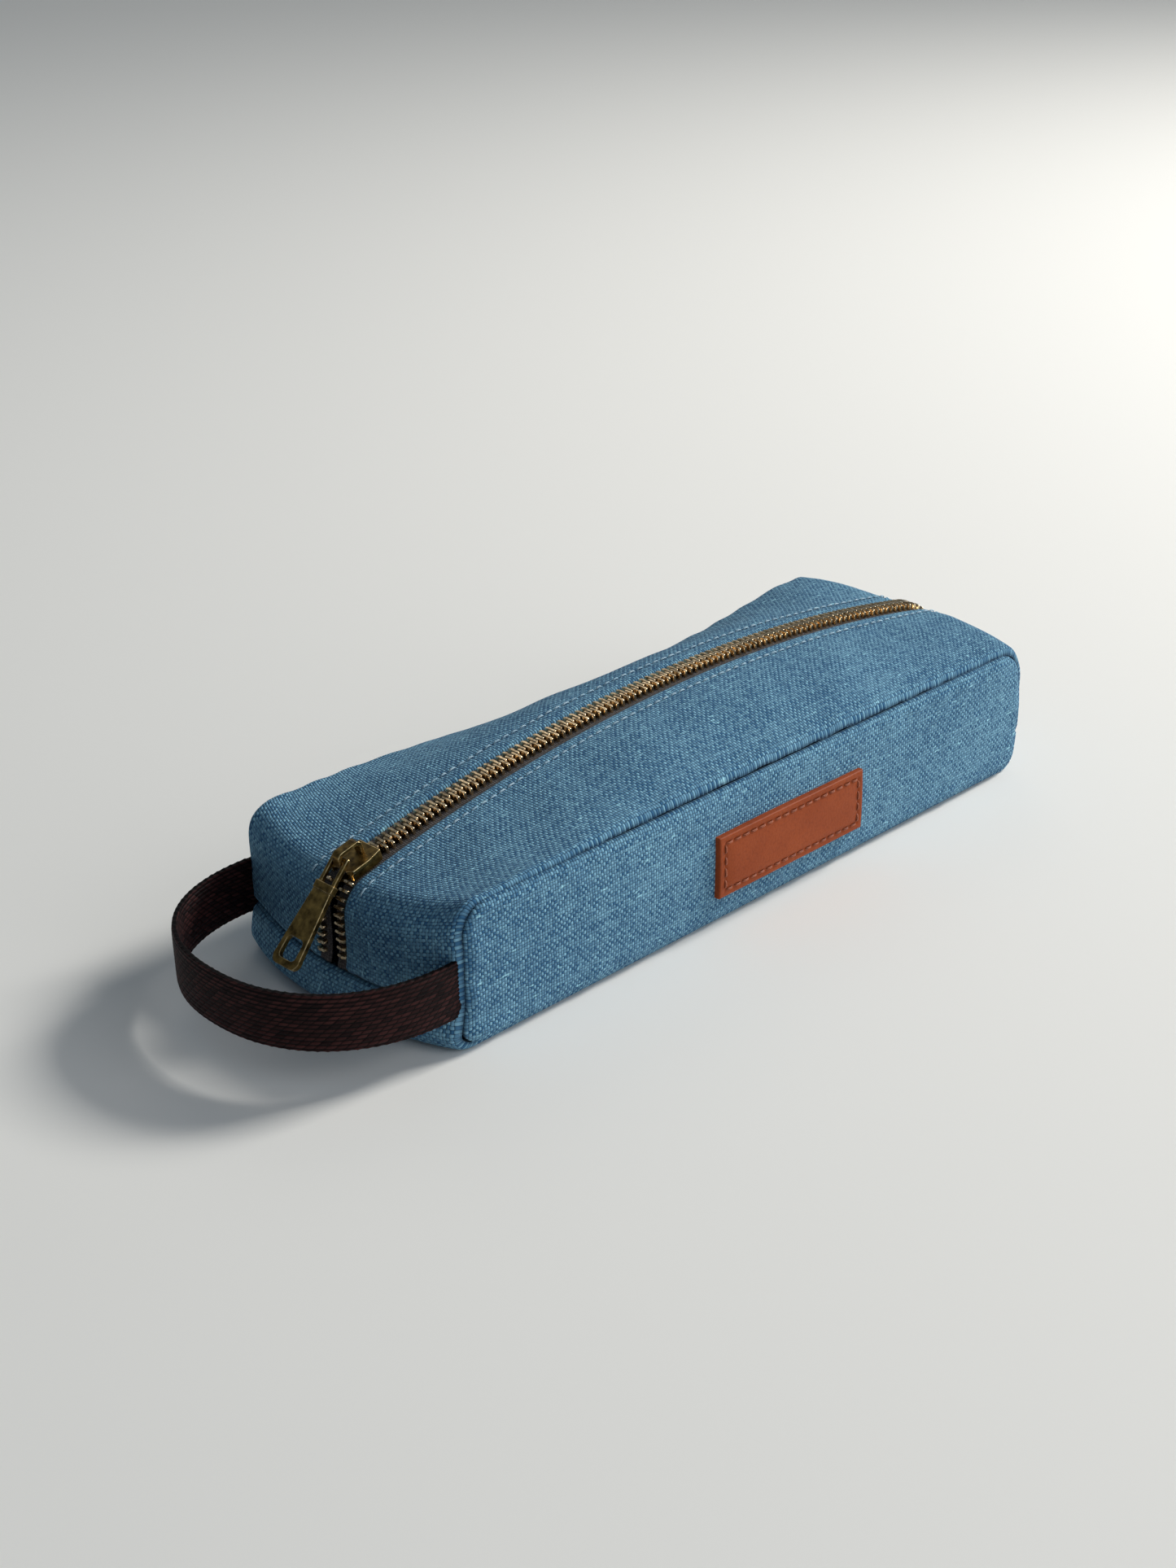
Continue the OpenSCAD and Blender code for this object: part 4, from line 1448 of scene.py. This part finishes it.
class Zip:
    """The zip: two tapes and two rows of teeth."""

    LEG, NECK, HEAD, TIP = 0.40 * MM, 0.36 * MM, 0.42 * MM, 0.22 * MM
    LEG_DROP, LEG_L, UNDER_TAPE = 0.12 * MM, 1.0 * MM, 0.9 * MM
    WORN = 0.13 * MM
    BEHIND_SLIDER, AHEAD_OF_SLIDER = 0.6 * MM, 1.2 * MM
    REACH = 0.8 * MM
    EDGE_Y, CORD_Y, CHAIN_Y, CLOTH_Y, SEWN_Y = 1.2, 2.3, 3.2, 3.6, 11
    RIM, RIM_W = 0.2 * MM, 0.35 * MM
    CORD, CORD_W = 0.25 * MM, 0.6 * MM
    TUCK = 0.01
    PARTED, PARTED_MORE, PARTED_DEPTH = 1.9, 0.5, 0.45 * MM

    def __init__(self, line: ZipLine, wardrobe: Wardrobe, shell: CanvasShell,
                 scatter: Scatter) -> None:
        """Keeps the line, the finishes, the canvas's seams and the shared tree."""
        self.line, self.wardrobe, self.shell, self.scatter = line, wardrobe, shell, scatter

    def tape(self, side: Side, end: End) -> bpy.types.Object:
        """Half of one tape, from a cross seam to the crown."""
        form, line = self.line.form, self.line
        first, last = self.shell.front + self.TUCK, self.shell.back - self.TUCK
        ahead = form.stations(first, self.shell.crown)
        t = np.concatenate([ahead, form.stations(self.shell.crown, last)[1:]])
        rows = slice(0, len(ahead)) if end is End.FRONT else slice(len(ahead) - 1, None)
        places = [np.linspace(self.EDGE_Y, self.CHAIN_Y, 7),
                  np.linspace(self.CLOTH_Y, self.SEWN_Y, 9)]
        y = side.value * np.concatenate(places) * MM
        rim = self.RIM * np.exp(-(((np.abs(y) - self.EDGE_Y * MM) / self.RIM_W) ** 2))
        cord = -self.CORD * np.exp(-(((np.abs(y) - self.CORD_Y * MM) / self.CORD_W) ** 2))
        outer = form.band(t, y, line.tape_depth + rim + cord)
        inner = form.band(t, y, line.tape_depth + line.tape_t - rim)
        cloth = cloth_map(form.run_of(t), y)
        piece = thick_sheet(f"zip_tape_{side.word}_{end.word}", outer[rows], inner[rows],
                            cloth[rows])
        self.wardrobe.dress(piece, Wardrobe.TAPE)
        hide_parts(f"zip_tape_{side.word}", "zip_tape_ends")
        return bend_with_lip(piece)

    def tooth(self, side: Side, reach: float, name: str) -> bpy.types.Object:
        """One brass tooth: a leg clamped on the tape's edge, a neck and a rounded head."""
        half = self.line.chain_w / 2
        rows = [(-half, self.LEG), (-half + 0.7 * MM, self.LEG), (-half + 1.4 * MM, self.NECK),
                (reach - 1.3 * MM, self.NECK), (reach - 0.75 * MM, self.HEAD),
                (reach - 0.2 * MM, self.NECK), (reach, self.TIP)]
        corners = [(w, y) for y, w in rows] + [(-w, y) for y, w in reversed(rows)]
        outline = [(x, -side.value * y) for x, y in corners]

        def top(y: float) -> float:
            """The tooth's top, which is lower over its leg."""
            over_leg = -side.value * y < -half + self.LEG_L
            return self.line.proud - (self.LEG_DROP if over_leg else 0.0)

        made = prism(name, outline, -self.line.tape_depth - self.UNDER_TAPE, top)
        return soften(made, self.WORN, segments=1)

    def teeth(self, side: Side, end: End) -> bpy.types.Object:
        """The closed teeth of one side, over one half of the case."""
        line = self.line
        if end is End.FRONT:
            first, last = 0.0, line.slider_back - self.BEHIND_SLIDER
        else:
            first, last = line.last_tooth, 0.0
        steps = np.arange(math.ceil(first / line.pitch) - 1, math.floor(last / line.pitch) + 2)
        s = (steps + side.value * 0.25) * line.pitch
        s = s[(s > first) & (s <= last)]
        points, along, up = line.place(s)
        template = self.tooth(side, self.REACH, "tooth_template")
        piece = self.scatter.run(f"zip_teeth_{side.word}_{end.word}", points,
                                 frame_turns(along, up), template,
                                 self.wardrobe.material(Wardrobe.CHAIN))
        discard(template)
        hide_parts(f"zip_teeth_{side.word}", "zip_teeth_ends")
        return bend_with_lip(piece)

    def open_teeth(self) -> bpy.types.Object:
        """The parted teeth in front of the slider, down the nose."""
        line = self.line
        made = []
        for side in Side:
            template = self.tooth(side, 0.0, "tooth_template")
            s = np.arange(line.slider_front + self.AHEAD_OF_SLIDER, line.front_end - 1 * MM,
                          line.pitch)
            points, along, up = line.place(s + side.value * line.pitch / 4)
            share = (s - s[0]) / (s[-1] - s[0])
            points[:, 1] += side.value * (self.PARTED + self.PARTED_MORE * share) * MM
            points -= up * self.PARTED_DEPTH
            made.append(self.scatter.run(f"open_teeth_{side.word}", points, frame_turns(along, up),
                                         template, self.wardrobe.material(Wardrobe.CHAIN)))
            discard(template)
        piece = join("zip_teeth_open", made)
        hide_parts("zip_teeth_ends")
        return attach(piece, "case")

    def build(self) -> list[bpy.types.Object]:
        """Makes the whole zip but its slider."""
        made = [self.open_teeth()]
        for side in Side:
            for end in End:
                made += [self.tape(side, end), self.teeth(side, end)]
        return made


def join(name: str, pieces: Sequence[bpy.types.Object]) -> bpy.types.Object:
    """Joins plain meshes that lie at the origin into one piece."""
    whole = bmesh.new()
    for piece in pieces:
        whole.from_mesh(piece.data)
    mesh = bpy.data.meshes.new(name)
    whole.to_mesh(mesh)
    whole.free()
    for finish in pieces[0].data.materials:
        mesh.materials.append(finish)
    shade_smooth(mesh)
    mesh.set_sharp_from_angle(angle=SHARP_METAL)
    for piece in pieces:
        discard(piece)
    return link_new(name, mesh)


@dataclass
class Slider:
    """The slider, its bridge and its two-part pull."""

    wardrobe: Wardrobe
    grain: float = 0.13 * MM
    rounds: int = 5

    BODIES: ClassVar[dict[str, str]] = {"slider_body": "slider", "slider_bridge": "slider",
                                        "pull_loop": "pull", "pull_tab": "pull"}

    def build(self) -> list[bpy.types.Object]:
        """Makes the four brass pieces."""
        made = []
        for node, body in self.BODIES.items():
            piece = cast_copy(node, f"{node}_cast", self.grain, self.rounds)
            self.wardrobe.dress(piece, Wardrobe.BRASS)
            made.append(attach(piece, body))
        return made


# ---------------------------------------------------------------- stitches, label and loop


class TopStitching:
    """The rows of pale stitches beside the zip."""

    FIRST, LAST = 1.55, 3.35
    OVER_CLOTH = 0.20 * MM
    LENGTH, WIDTH, HEIGHT = 2.2 * MM, 0.55 * MM, 0.40 * MM

    def __init__(self, form: CaseForm, shell: CanvasShell, wardrobe: Wardrobe,
                 scatter: Scatter, pitch: float = 3.0 * MM) -> None:
        """Keeps what the rows are made from."""
        self.form, self.shell, self.wardrobe = form, shell, wardrobe
        self.scatter, self.pitch = scatter, pitch

    def row(self, side: Side, end: End) -> bpy.types.Object:
        """One half row of stitches."""
        form = self.form
        if end is End.FRONT:
            t = form.stations(self.FIRST, self.shell.crown)
        else:
            t = form.stations(self.shell.crown, self.LAST)
        y = side.value * (form.stitch_y + np.array([-0.5, 0.0, 0.5]) * MM)
        grid = form.band(t, y, form.stitch_dip - self.OVER_CLOTH)
        line = grid[:, 1]
        normal = surface_normals(grid)[:, 1]
        normal *= np.sign(normal[:, 2:])
        run = running_length(line)
        ahead = np.arange(self.pitch / 2, run[-1], self.pitch)
        points, up, along = (
            np.stack([np.interp(ahead, run, values[:, k]) for k in range(3)], -1)
            for values in (line, normal, np.gradient(line, axis=0)))
        template = stitch_template(self.LENGTH, self.WIDTH, self.HEIGHT)
        piece = self.scatter.run(f"topstitch_{side.word}_{end.word}", points,
                                 frame_turns(along, up), template,
                                 self.wardrobe.material(Wardrobe.PALE_THREAD), unevenness=0.12,
                                 seed=5 + side.value + 3 * end.value)
        discard(template)
        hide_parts("topstitch_ends")
        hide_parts(f"topstitch_{side.word}")
        return bend_with_lip(piece)

    def build(self) -> list[bpy.types.Object]:
        """Makes both rows, each in two halves."""
        return [self.row(side, end) for side in Side for end in End]


class Label:
    """The plain leather label and its stitching, lying on the puffed side canvas."""

    def __init__(self, shell: CanvasShell, wardrobe: Wardrobe, scatter: Scatter) -> None:
        """Reads the label's place from the frame."""
        self.shell, self.wardrobe, self.scatter = shell, wardrobe, scatter
        low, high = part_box("leather_label")
        self.centre = (np.array(low) + np.array(high)) / 2
        self.half = (np.array(high) - np.array(low)) / 2
        self.thick = 1.6 * MM
        self.edge = 0.45 * MM
        self.inset = 2.0 * MM
        self.pitch = 3.0 * MM
        self.dent, self.dent_w = 0.26 * MM, 0.42 * MM
        self.puff = 0.12 * MM
        self.bedded = 0.4 * MM
        self.thread_sink = 0.10 * MM
        self.stitch = (2.3 * MM, 0.62 * MM, 0.40 * MM)

    def under(self, z: np.ndarray) -> np.ndarray:
        """The smoothed face of the side canvas under the label."""
        shell, clear = self.shell, 0.06 * MM
        body = shell.side_body(np.minimum(z, shell.form.seam_h - z))
        return shell.form.seam_y + shell.ROLL + shell.PUFF * body + clear

    def plate(self) -> bpy.types.Object:
        """The leather plate with rolled edges and a pressed stitch line."""
        def places(half: float) -> np.ndarray:
            """Places across a half width, close together at the edge and the stitch line."""
            rim = half - self.edge * np.linspace(0, 1, 6)
            dent = half - self.inset + 0.6 * MM * np.linspace(-1, 1, 7)
            plain = np.linspace(0, half - self.inset - 0.7 * MM, 9)
            right = np.unique(np.round(np.concatenate([rim, dent, plain]), 7))
            return np.concatenate([-right[:0:-1], right])

        px, pz = places(self.half[0]), places(self.half[2])
        x, z = np.meshgrid(px, pz, indexing="ij")
        inset = np.minimum(self.half[0] - np.abs(x), self.half[2] - np.abs(z))
        rolled = self.edge - np.clip(inset, 0, self.edge)
        drop = self.edge - np.sqrt(np.maximum(self.edge**2 - rolled**2, 0))
        dent = self.dent * np.exp(-(((inset - self.inset) / self.dent_w) ** 2))
        puff = self.puff * np.clip((inset - self.inset) / (2 * MM), 0, 1)
        world_x, world_z = x + self.centre[0], z + self.centre[2]
        base = self.under(world_z)
        outer = np.stack([world_x, -(base + self.thick - drop - dent + puff), world_z], -1)
        inner = np.stack([world_x, -(base - self.bedded), world_z], -1)
        cloth = np.stack([world_x, world_z], -1)
        piece = thick_sheet("leather_label_plate", outer, inner, cloth)
        self.wardrobe.dress(piece, Wardrobe.LEATHER)
        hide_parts("leather_label")
        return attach(piece, "case")

    def stitching(self) -> bpy.types.Object:
        """The tan stitches round the label."""
        half_l, half_h = self.half[0] - self.inset, self.half[2] - self.inset
        count_l, count_h = (round(2 * half / self.pitch) for half in (half_l, half_h))
        places, along = [], []
        for sign in (-1, 1):
            for i in range(count_l):
                places.append(((i + 0.5) * 2 * half_l / count_l - half_l, sign * half_h))
                along.append((1.0, 0.0, 0.0))
            for i in range(count_h):
                places.append((sign * half_l, (i + 0.5) * 2 * half_h / count_h - half_h))
                along.append((0.0, 0.0, 1.0))
        flat = np.array(places) + self.centre[[0, 2]]
        face = self.under(flat[:, 1]) + self.thick - self.thread_sink
        points = np.stack([flat[:, 0], -face, flat[:, 1]], -1)
        up = np.tile([0.0, -1.0, 0.0], (len(points), 1))
        template = stitch_template(*self.stitch)
        piece = self.scatter.run("label_thread", points, frame_turns(np.array(along), up), template,
                                 self.wardrobe.material(Wardrobe.TAN_THREAD), unevenness=0.08,
                                 seed=17)
        discard(template)
        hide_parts("label_stitching")
        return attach(piece, "case")

    def build(self) -> list[bpy.types.Object]:
        """Makes the plate and its stitches."""
        return [self.plate(), self.stitching()]


class SeamBinding:
    """The bias tape over the raw edges inside each side seam."""

    START = 6.5
    FIRST_Y, LAST_Y, COLUMNS = 0.6, 4.0, 8
    OFF_CLOTH, THICK, SWELL = 0.35 * MM, 0.25 * MM, 0.5 * MM

    def __init__(self, form: CaseForm, wardrobe: Wardrobe) -> None:
        """Keeps the form and the finishes."""
        self.form, self.wardrobe = form, wardrobe

    def build(self) -> list[bpy.types.Object]:
        """Makes both bindings."""
        made = []
        for side in Side:
            form = self.form
            t = form.stations(self.START - 8, self.START)
            inset = np.linspace(self.FIRST_Y, self.LAST_Y, self.COLUMNS) * MM
            y = side.value * (form.seam_y - inset)
            swell = self.SWELL * np.sin(np.linspace(0, 1, self.COLUMNS) * math.pi)
            face = form.cloth + self.OFF_CLOTH
            outer = form.band(t, y, face)
            inner = form.band(t, y, face + self.THICK + swell)
            piece = thick_sheet(f"seam_tape_{side.word}", outer, inner,
                                cloth_map(form.run_of(t), y))
            self.wardrobe.dress(piece, Wardrobe.BINDING)
            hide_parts(f"seam_binding_{side.word}")
            made.append(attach(piece, "case"))
        return made


class WristLoop:
    """The webbing loop, swept along a half ring and its two straight ends."""

    def __init__(self, wardrobe: Wardrobe) -> None:
        """Reads the loop's sizes and hinge from the frame."""
        self.wardrobe = wardrobe
        low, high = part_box("wrist_loop")
        self.x = joint("strap_swing")["pos_m"][0]
        self.radius = self.x - low[0]
        self.thick = 1.6 * MM
        self.tuck = 0.45 * MM
        self.squareness = 0.90
        self.notch, self.notch_l = 0.35 * MM, 2.1 * MM
        self.ribs, self.rib = 14, 0.15 * MM
        self.ring_points, self.straight_points = 241, 13
        self.edge, self.edge_thin = 0.25 * MM, 0.28
        self.low, self.high = low[2], high[2]
        self.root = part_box("wrist_loop_ends")[1][0]
        self.flex = (self.x + 2 * MM, high[0] - 8 * MM)

    def path(self) -> np.ndarray:
        """Points along the middle of the webbing, from the near seam round to the far one."""
        r = self.radius - self.thick / 2
        angle = np.linspace(-math.pi / 2, -3 * math.pi / 2, self.ring_points)
        turn = np.stack([np.cos(angle), np.sin(angle)], -1)
        ring = r * np.sign(turn) * np.abs(turn) ** self.squareness + [self.x, 0]
        straight = np.linspace(self.root, self.x, self.straight_points)[:-1]
        tuck = r - self.tuck * np.clip((straight - self.x) / (3 * MM), 0, 1)
        near = np.stack([straight, -tuck], -1)
        far = np.stack([straight, tuck], -1)[::-1]
        return np.concatenate([near, ring, far])

    def profile(self) -> np.ndarray:
        """Outline of the webbing across its width: soft ribs and full edges."""
        w, h = (self.high - self.low) / 2, self.thick / 2
        face = np.linspace(-1, 1, self.ribs * 6 + 1)
        rib = self.rib * (np.abs(np.cos(face * self.ribs * math.pi / 2)) ** 0.7 - 1)
        thin = h * (1 - self.edge_thin * np.abs(face) ** 10) + rib
        front = np.stack([thin, face * (w - self.edge)], -1)
        tip = np.array([[0.35 * h, w], [-0.35 * h, w]])
        back = front[::-1] * [-1, 1]
        return np.concatenate([front, tip, back, -tip])

    def sweep_tree(self) -> bpy.types.NodeTree:
        """Builds the tree that sweeps a profile along a path of points."""
        group = bpy.data.node_groups.new("webbing_sweep", "GeometryNodeTree")
        made = group.interface.new_socket
        made("Path", in_out="INPUT", socket_type="NodeSocketGeometry")
        made("Profile", in_out="INPUT", socket_type="NodeSocketObject")
        made("Finish", in_out="INPUT", socket_type="NodeSocketMaterial")
        made("Band", in_out="OUTPUT", socket_type="NodeSocketGeometry")
        t = NodeTree(group)
        given = t.add("NodeGroupInput").outputs
        path = t.add("GeometryNodeMeshToCurve", {0: given["Path"]})
        upright = t.add("GeometryNodeSetCurveNormal", {0: path.outputs[0]}, mode="Z_UP")
        profile = t.add("GeometryNodeObjectInfo", {"Object": given["Profile"]})
        outline = t.add("GeometryNodeMeshToCurve", {0: profile.outputs["Geometry"]})
        band = t.add("GeometryNodeCurveToMesh",
                     {"Curve": upright.outputs[0], "Profile Curve": outline.outputs[0],
                      "Fill Caps": True})
        real = t.add("GeometryNodeRealizeInstances", {0: band.outputs[0]})
        painted = t.add("GeometryNodeSetMaterial", {0: real.outputs[0], 2: given["Finish"]})
        t.add("NodeGroupOutput", {0: painted.outputs[0]})
        return group

    def build(self) -> list[bpy.types.Object]:
        """Makes the loop."""
        path, outline = self.path(), self.profile()
        middle = (self.low + self.high) / 2
        points = np.column_stack([path, np.full(len(path), middle)])
        mesh = bpy.data.meshes.new("loop_path")
        mesh.from_pydata(points.tolist(), [(i, i + 1) for i in range(len(points) - 1)], [])
        piece = link_new("webbing_loop", mesh)
        flat = np.column_stack([outline, np.zeros(len(outline))])
        ring = bpy.data.meshes.new("loop_profile")
        ring.from_pydata(flat.tolist(), [(i, (i + 1) % len(flat)) for i in range(len(flat))], [])
        template = link_new("loop_profile", ring)
        modifier = piece.modifiers.new("sweep", "NODES")
        modifier.node_group = self.sweep_tree()
        give_inputs(modifier, {"Profile": template,
                               "Finish": self.wardrobe.material(Wardrobe.WEBBING)})
        apply_modifiers(piece)
        discard(template)
        self.map_cloth(piece)
        tidy_normals(piece)
        piece.data.set_sharp_from_angle(angle=SHARP_WEBBING)
        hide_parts("wrist_loop", "wrist_loop_ends")
        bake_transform(piece)
        return [piece]

    def map_cloth(self, piece: bpy.types.Object) -> None:
        """Gives the loop its cloth map, run along the band then height, and nicks its edges."""
        mesh = piece.data
        layer = mesh.uv_layers.get("cloth") or mesh.uv_layers.new(name="cloth")
        flat = np.zeros(len(mesh.vertices) * 3)
        mesh.vertices.foreach_get("co", flat)
        place = flat.reshape(-1, 3)
        r = self.radius - self.thick / 2
        angle = np.arctan2(place[:, 1], self.x - place[:, 0])
        on_ring = place[:, 0] <= self.x
        run = np.where(on_ring, angle * r,
                       np.sign(place[:, 1]) * (math.pi / 2 * r + place[:, 0] - self.x))
        corner = np.zeros(len(mesh.loops), np.int32)
        mesh.loops.foreach_get("vertex_index", corner)
        cloth = np.stack([run, place[:, 2]], -1)[corner]
        half = (self.high - self.low) / 2
        off = (place[:, 2] - self.low - half) / half
        nick = self.notch * np.abs(np.sin(math.pi * run / self.notch_l)) * np.abs(off) ** 24
        place[:, 2] -= np.sign(off) * nick
        mesh.vertices.foreach_set("co", place.ravel())
        layer.data.foreach_set("uv", cloth.astype(np.float32).ravel())
        shade_smooth(mesh)


# ---------------------------------------------------------------- studio


@dataclass(frozen=True)
class Lamp:
    """One square area light and the point that it faces."""

    name: str
    place: tuple[float, float, float]
    look: tuple[float, float, float]
    size: float
    power: float
    colour: tuple[float, float, float]

    def add(self) -> bpy.types.Object:
        """Adds the light to the scene."""
        data = bpy.data.lights.new(self.name, "AREA")
        data.size, data.energy, data.color = self.size, self.power, self.colour
        made = link_new(self.name, data)
        made.location = self.place
        away = Vector(self.place) - Vector(self.look)
        made.rotation_euler = away.to_track_quat("Z", "Y").to_euler()
        return made


@dataclass
class Studio:
    """Plain pale floor, soft light and the camera."""

    azimuth: float = -44.03
    elevation: float = 25.25
    roll: float = -1.44
    distance: float = 636.4 * MM
    target: tuple[float, float, float] = (15.35 * MM, 43.33 * MM, 0.0)
    lens: float = 51.4
    sensor: float = 36.0
    floor_half: float = 6.0
    floor_colour: tuple[float, float, float, float] = (0.93, 0.910, 0.870, 1)
    room_colour: tuple[float, float, float, float] = (0.72, 0.86, 1.0, 1)
    floor_roughness: float = 0.75
    room_light: float = 0.19

    LAMPS: ClassVar[tuple[Lamp, ...]] = (
        Lamp("window", (1.48, -0.43, 1.07), (0.0, 0.0, 0.02), 0.5, 31.5, (1.0, 0.985, 0.945)),
        Lamp("front_fill", (0.35, -1.70, 0.75), (0.0, 0.0, 0.02), 1.6, 11.5, (0.97, 0.98, 1.0)),
        Lamp("back_window", (2.2, 2.6, 2.2), (0.9, 1.1, 0.0), 1.6, 7.0, (1.0, 0.93, 0.82)))

    def camera(self) -> bpy.types.Object:
        """Places the camera on its line of sight."""
        a, e, r = (math.radians(v) for v in (self.azimuth, self.elevation, self.roll))
        back = Vector((math.sin(a) * math.cos(e), -math.cos(a) * math.cos(e), math.sin(e)))
        right = Vector((math.cos(a), math.sin(a), 0))
        up = back.cross(right)
        right, up = right * math.cos(r) + up * math.sin(r), up * math.cos(r) - right * math.sin(r)
        data = bpy.data.cameras.new("camera")
        data.lens = self.lens
        data.sensor_width = self.sensor
        data.clip_start, data.clip_end = 0.01, 50
        made = link_new("camera", data)
        place = Matrix.Translation(Vector(self.target) + back * self.distance)
        made.matrix_world = place @ Matrix((right, up, back)).transposed().to_4x4()
        bpy.context.scene.camera = made
        return made

    def floor(self) -> bpy.types.Object:
        """Lays the pale floor under the case."""
        half = self.floor_half
        corners = np.array([(-half, -half, 0), (half, -half, 0), (half, half, 0), (-half, half, 0)])
        made = new_piece("floor", corners, [(0, 1, 2, 3)])
        finish = bpy.data.materials.new("pale_paper")
        finish.use_nodes = True
        shader = finish.node_tree.nodes["Principled BSDF"]
        shader.inputs["Base Color"].default_value = self.floor_colour
        shader.inputs["Roughness"].default_value = self.floor_roughness
        shader.inputs["Specular IOR Level"].default_value = 0.25
        made.data.materials.append(finish)
        return made

    def build(self) -> None:
        """Sets the camera, the floor, the lights and the room's fill."""
        self.camera()
        self.floor()
        for lamp in self.LAMPS:
            lamp.add()
        world = bpy.data.worlds.new("room")
        world.use_nodes = True
        background = world.node_tree.nodes["Background"]
        background.inputs["Color"].default_value = self.room_colour
        background.inputs["Strength"].default_value = self.room_light
        bpy.context.scene.world = world
        bpy.context.scene.view_settings.view_transform = "Standard"


def main() -> None:
    """Builds the case, dresses it and reports each piece."""
    logging.basicConfig(level=logging.INFO, format="%(name)s: %(message)s")
    wardrobe = Wardrobe()
    form = CaseForm()
    Studio().build()
    shell = CanvasShell(form, wardrobe)
    scatter = Scatter("repeat_along")
    parts = (shell, Zip(ZipLine(form), wardrobe, shell, scatter), Slider(wardrobe),
             TopStitching(form, shell, wardrobe, scatter), Label(shell, wardrobe, scatter),
             SeamBinding(form, wardrobe), WristLoop(wardrobe))
    for part in parts:
        for piece in part.build():
            LOG.info("%s: %d faces", piece.name, len(piece.data.polygons))


if __name__ == "__main__":
    main()
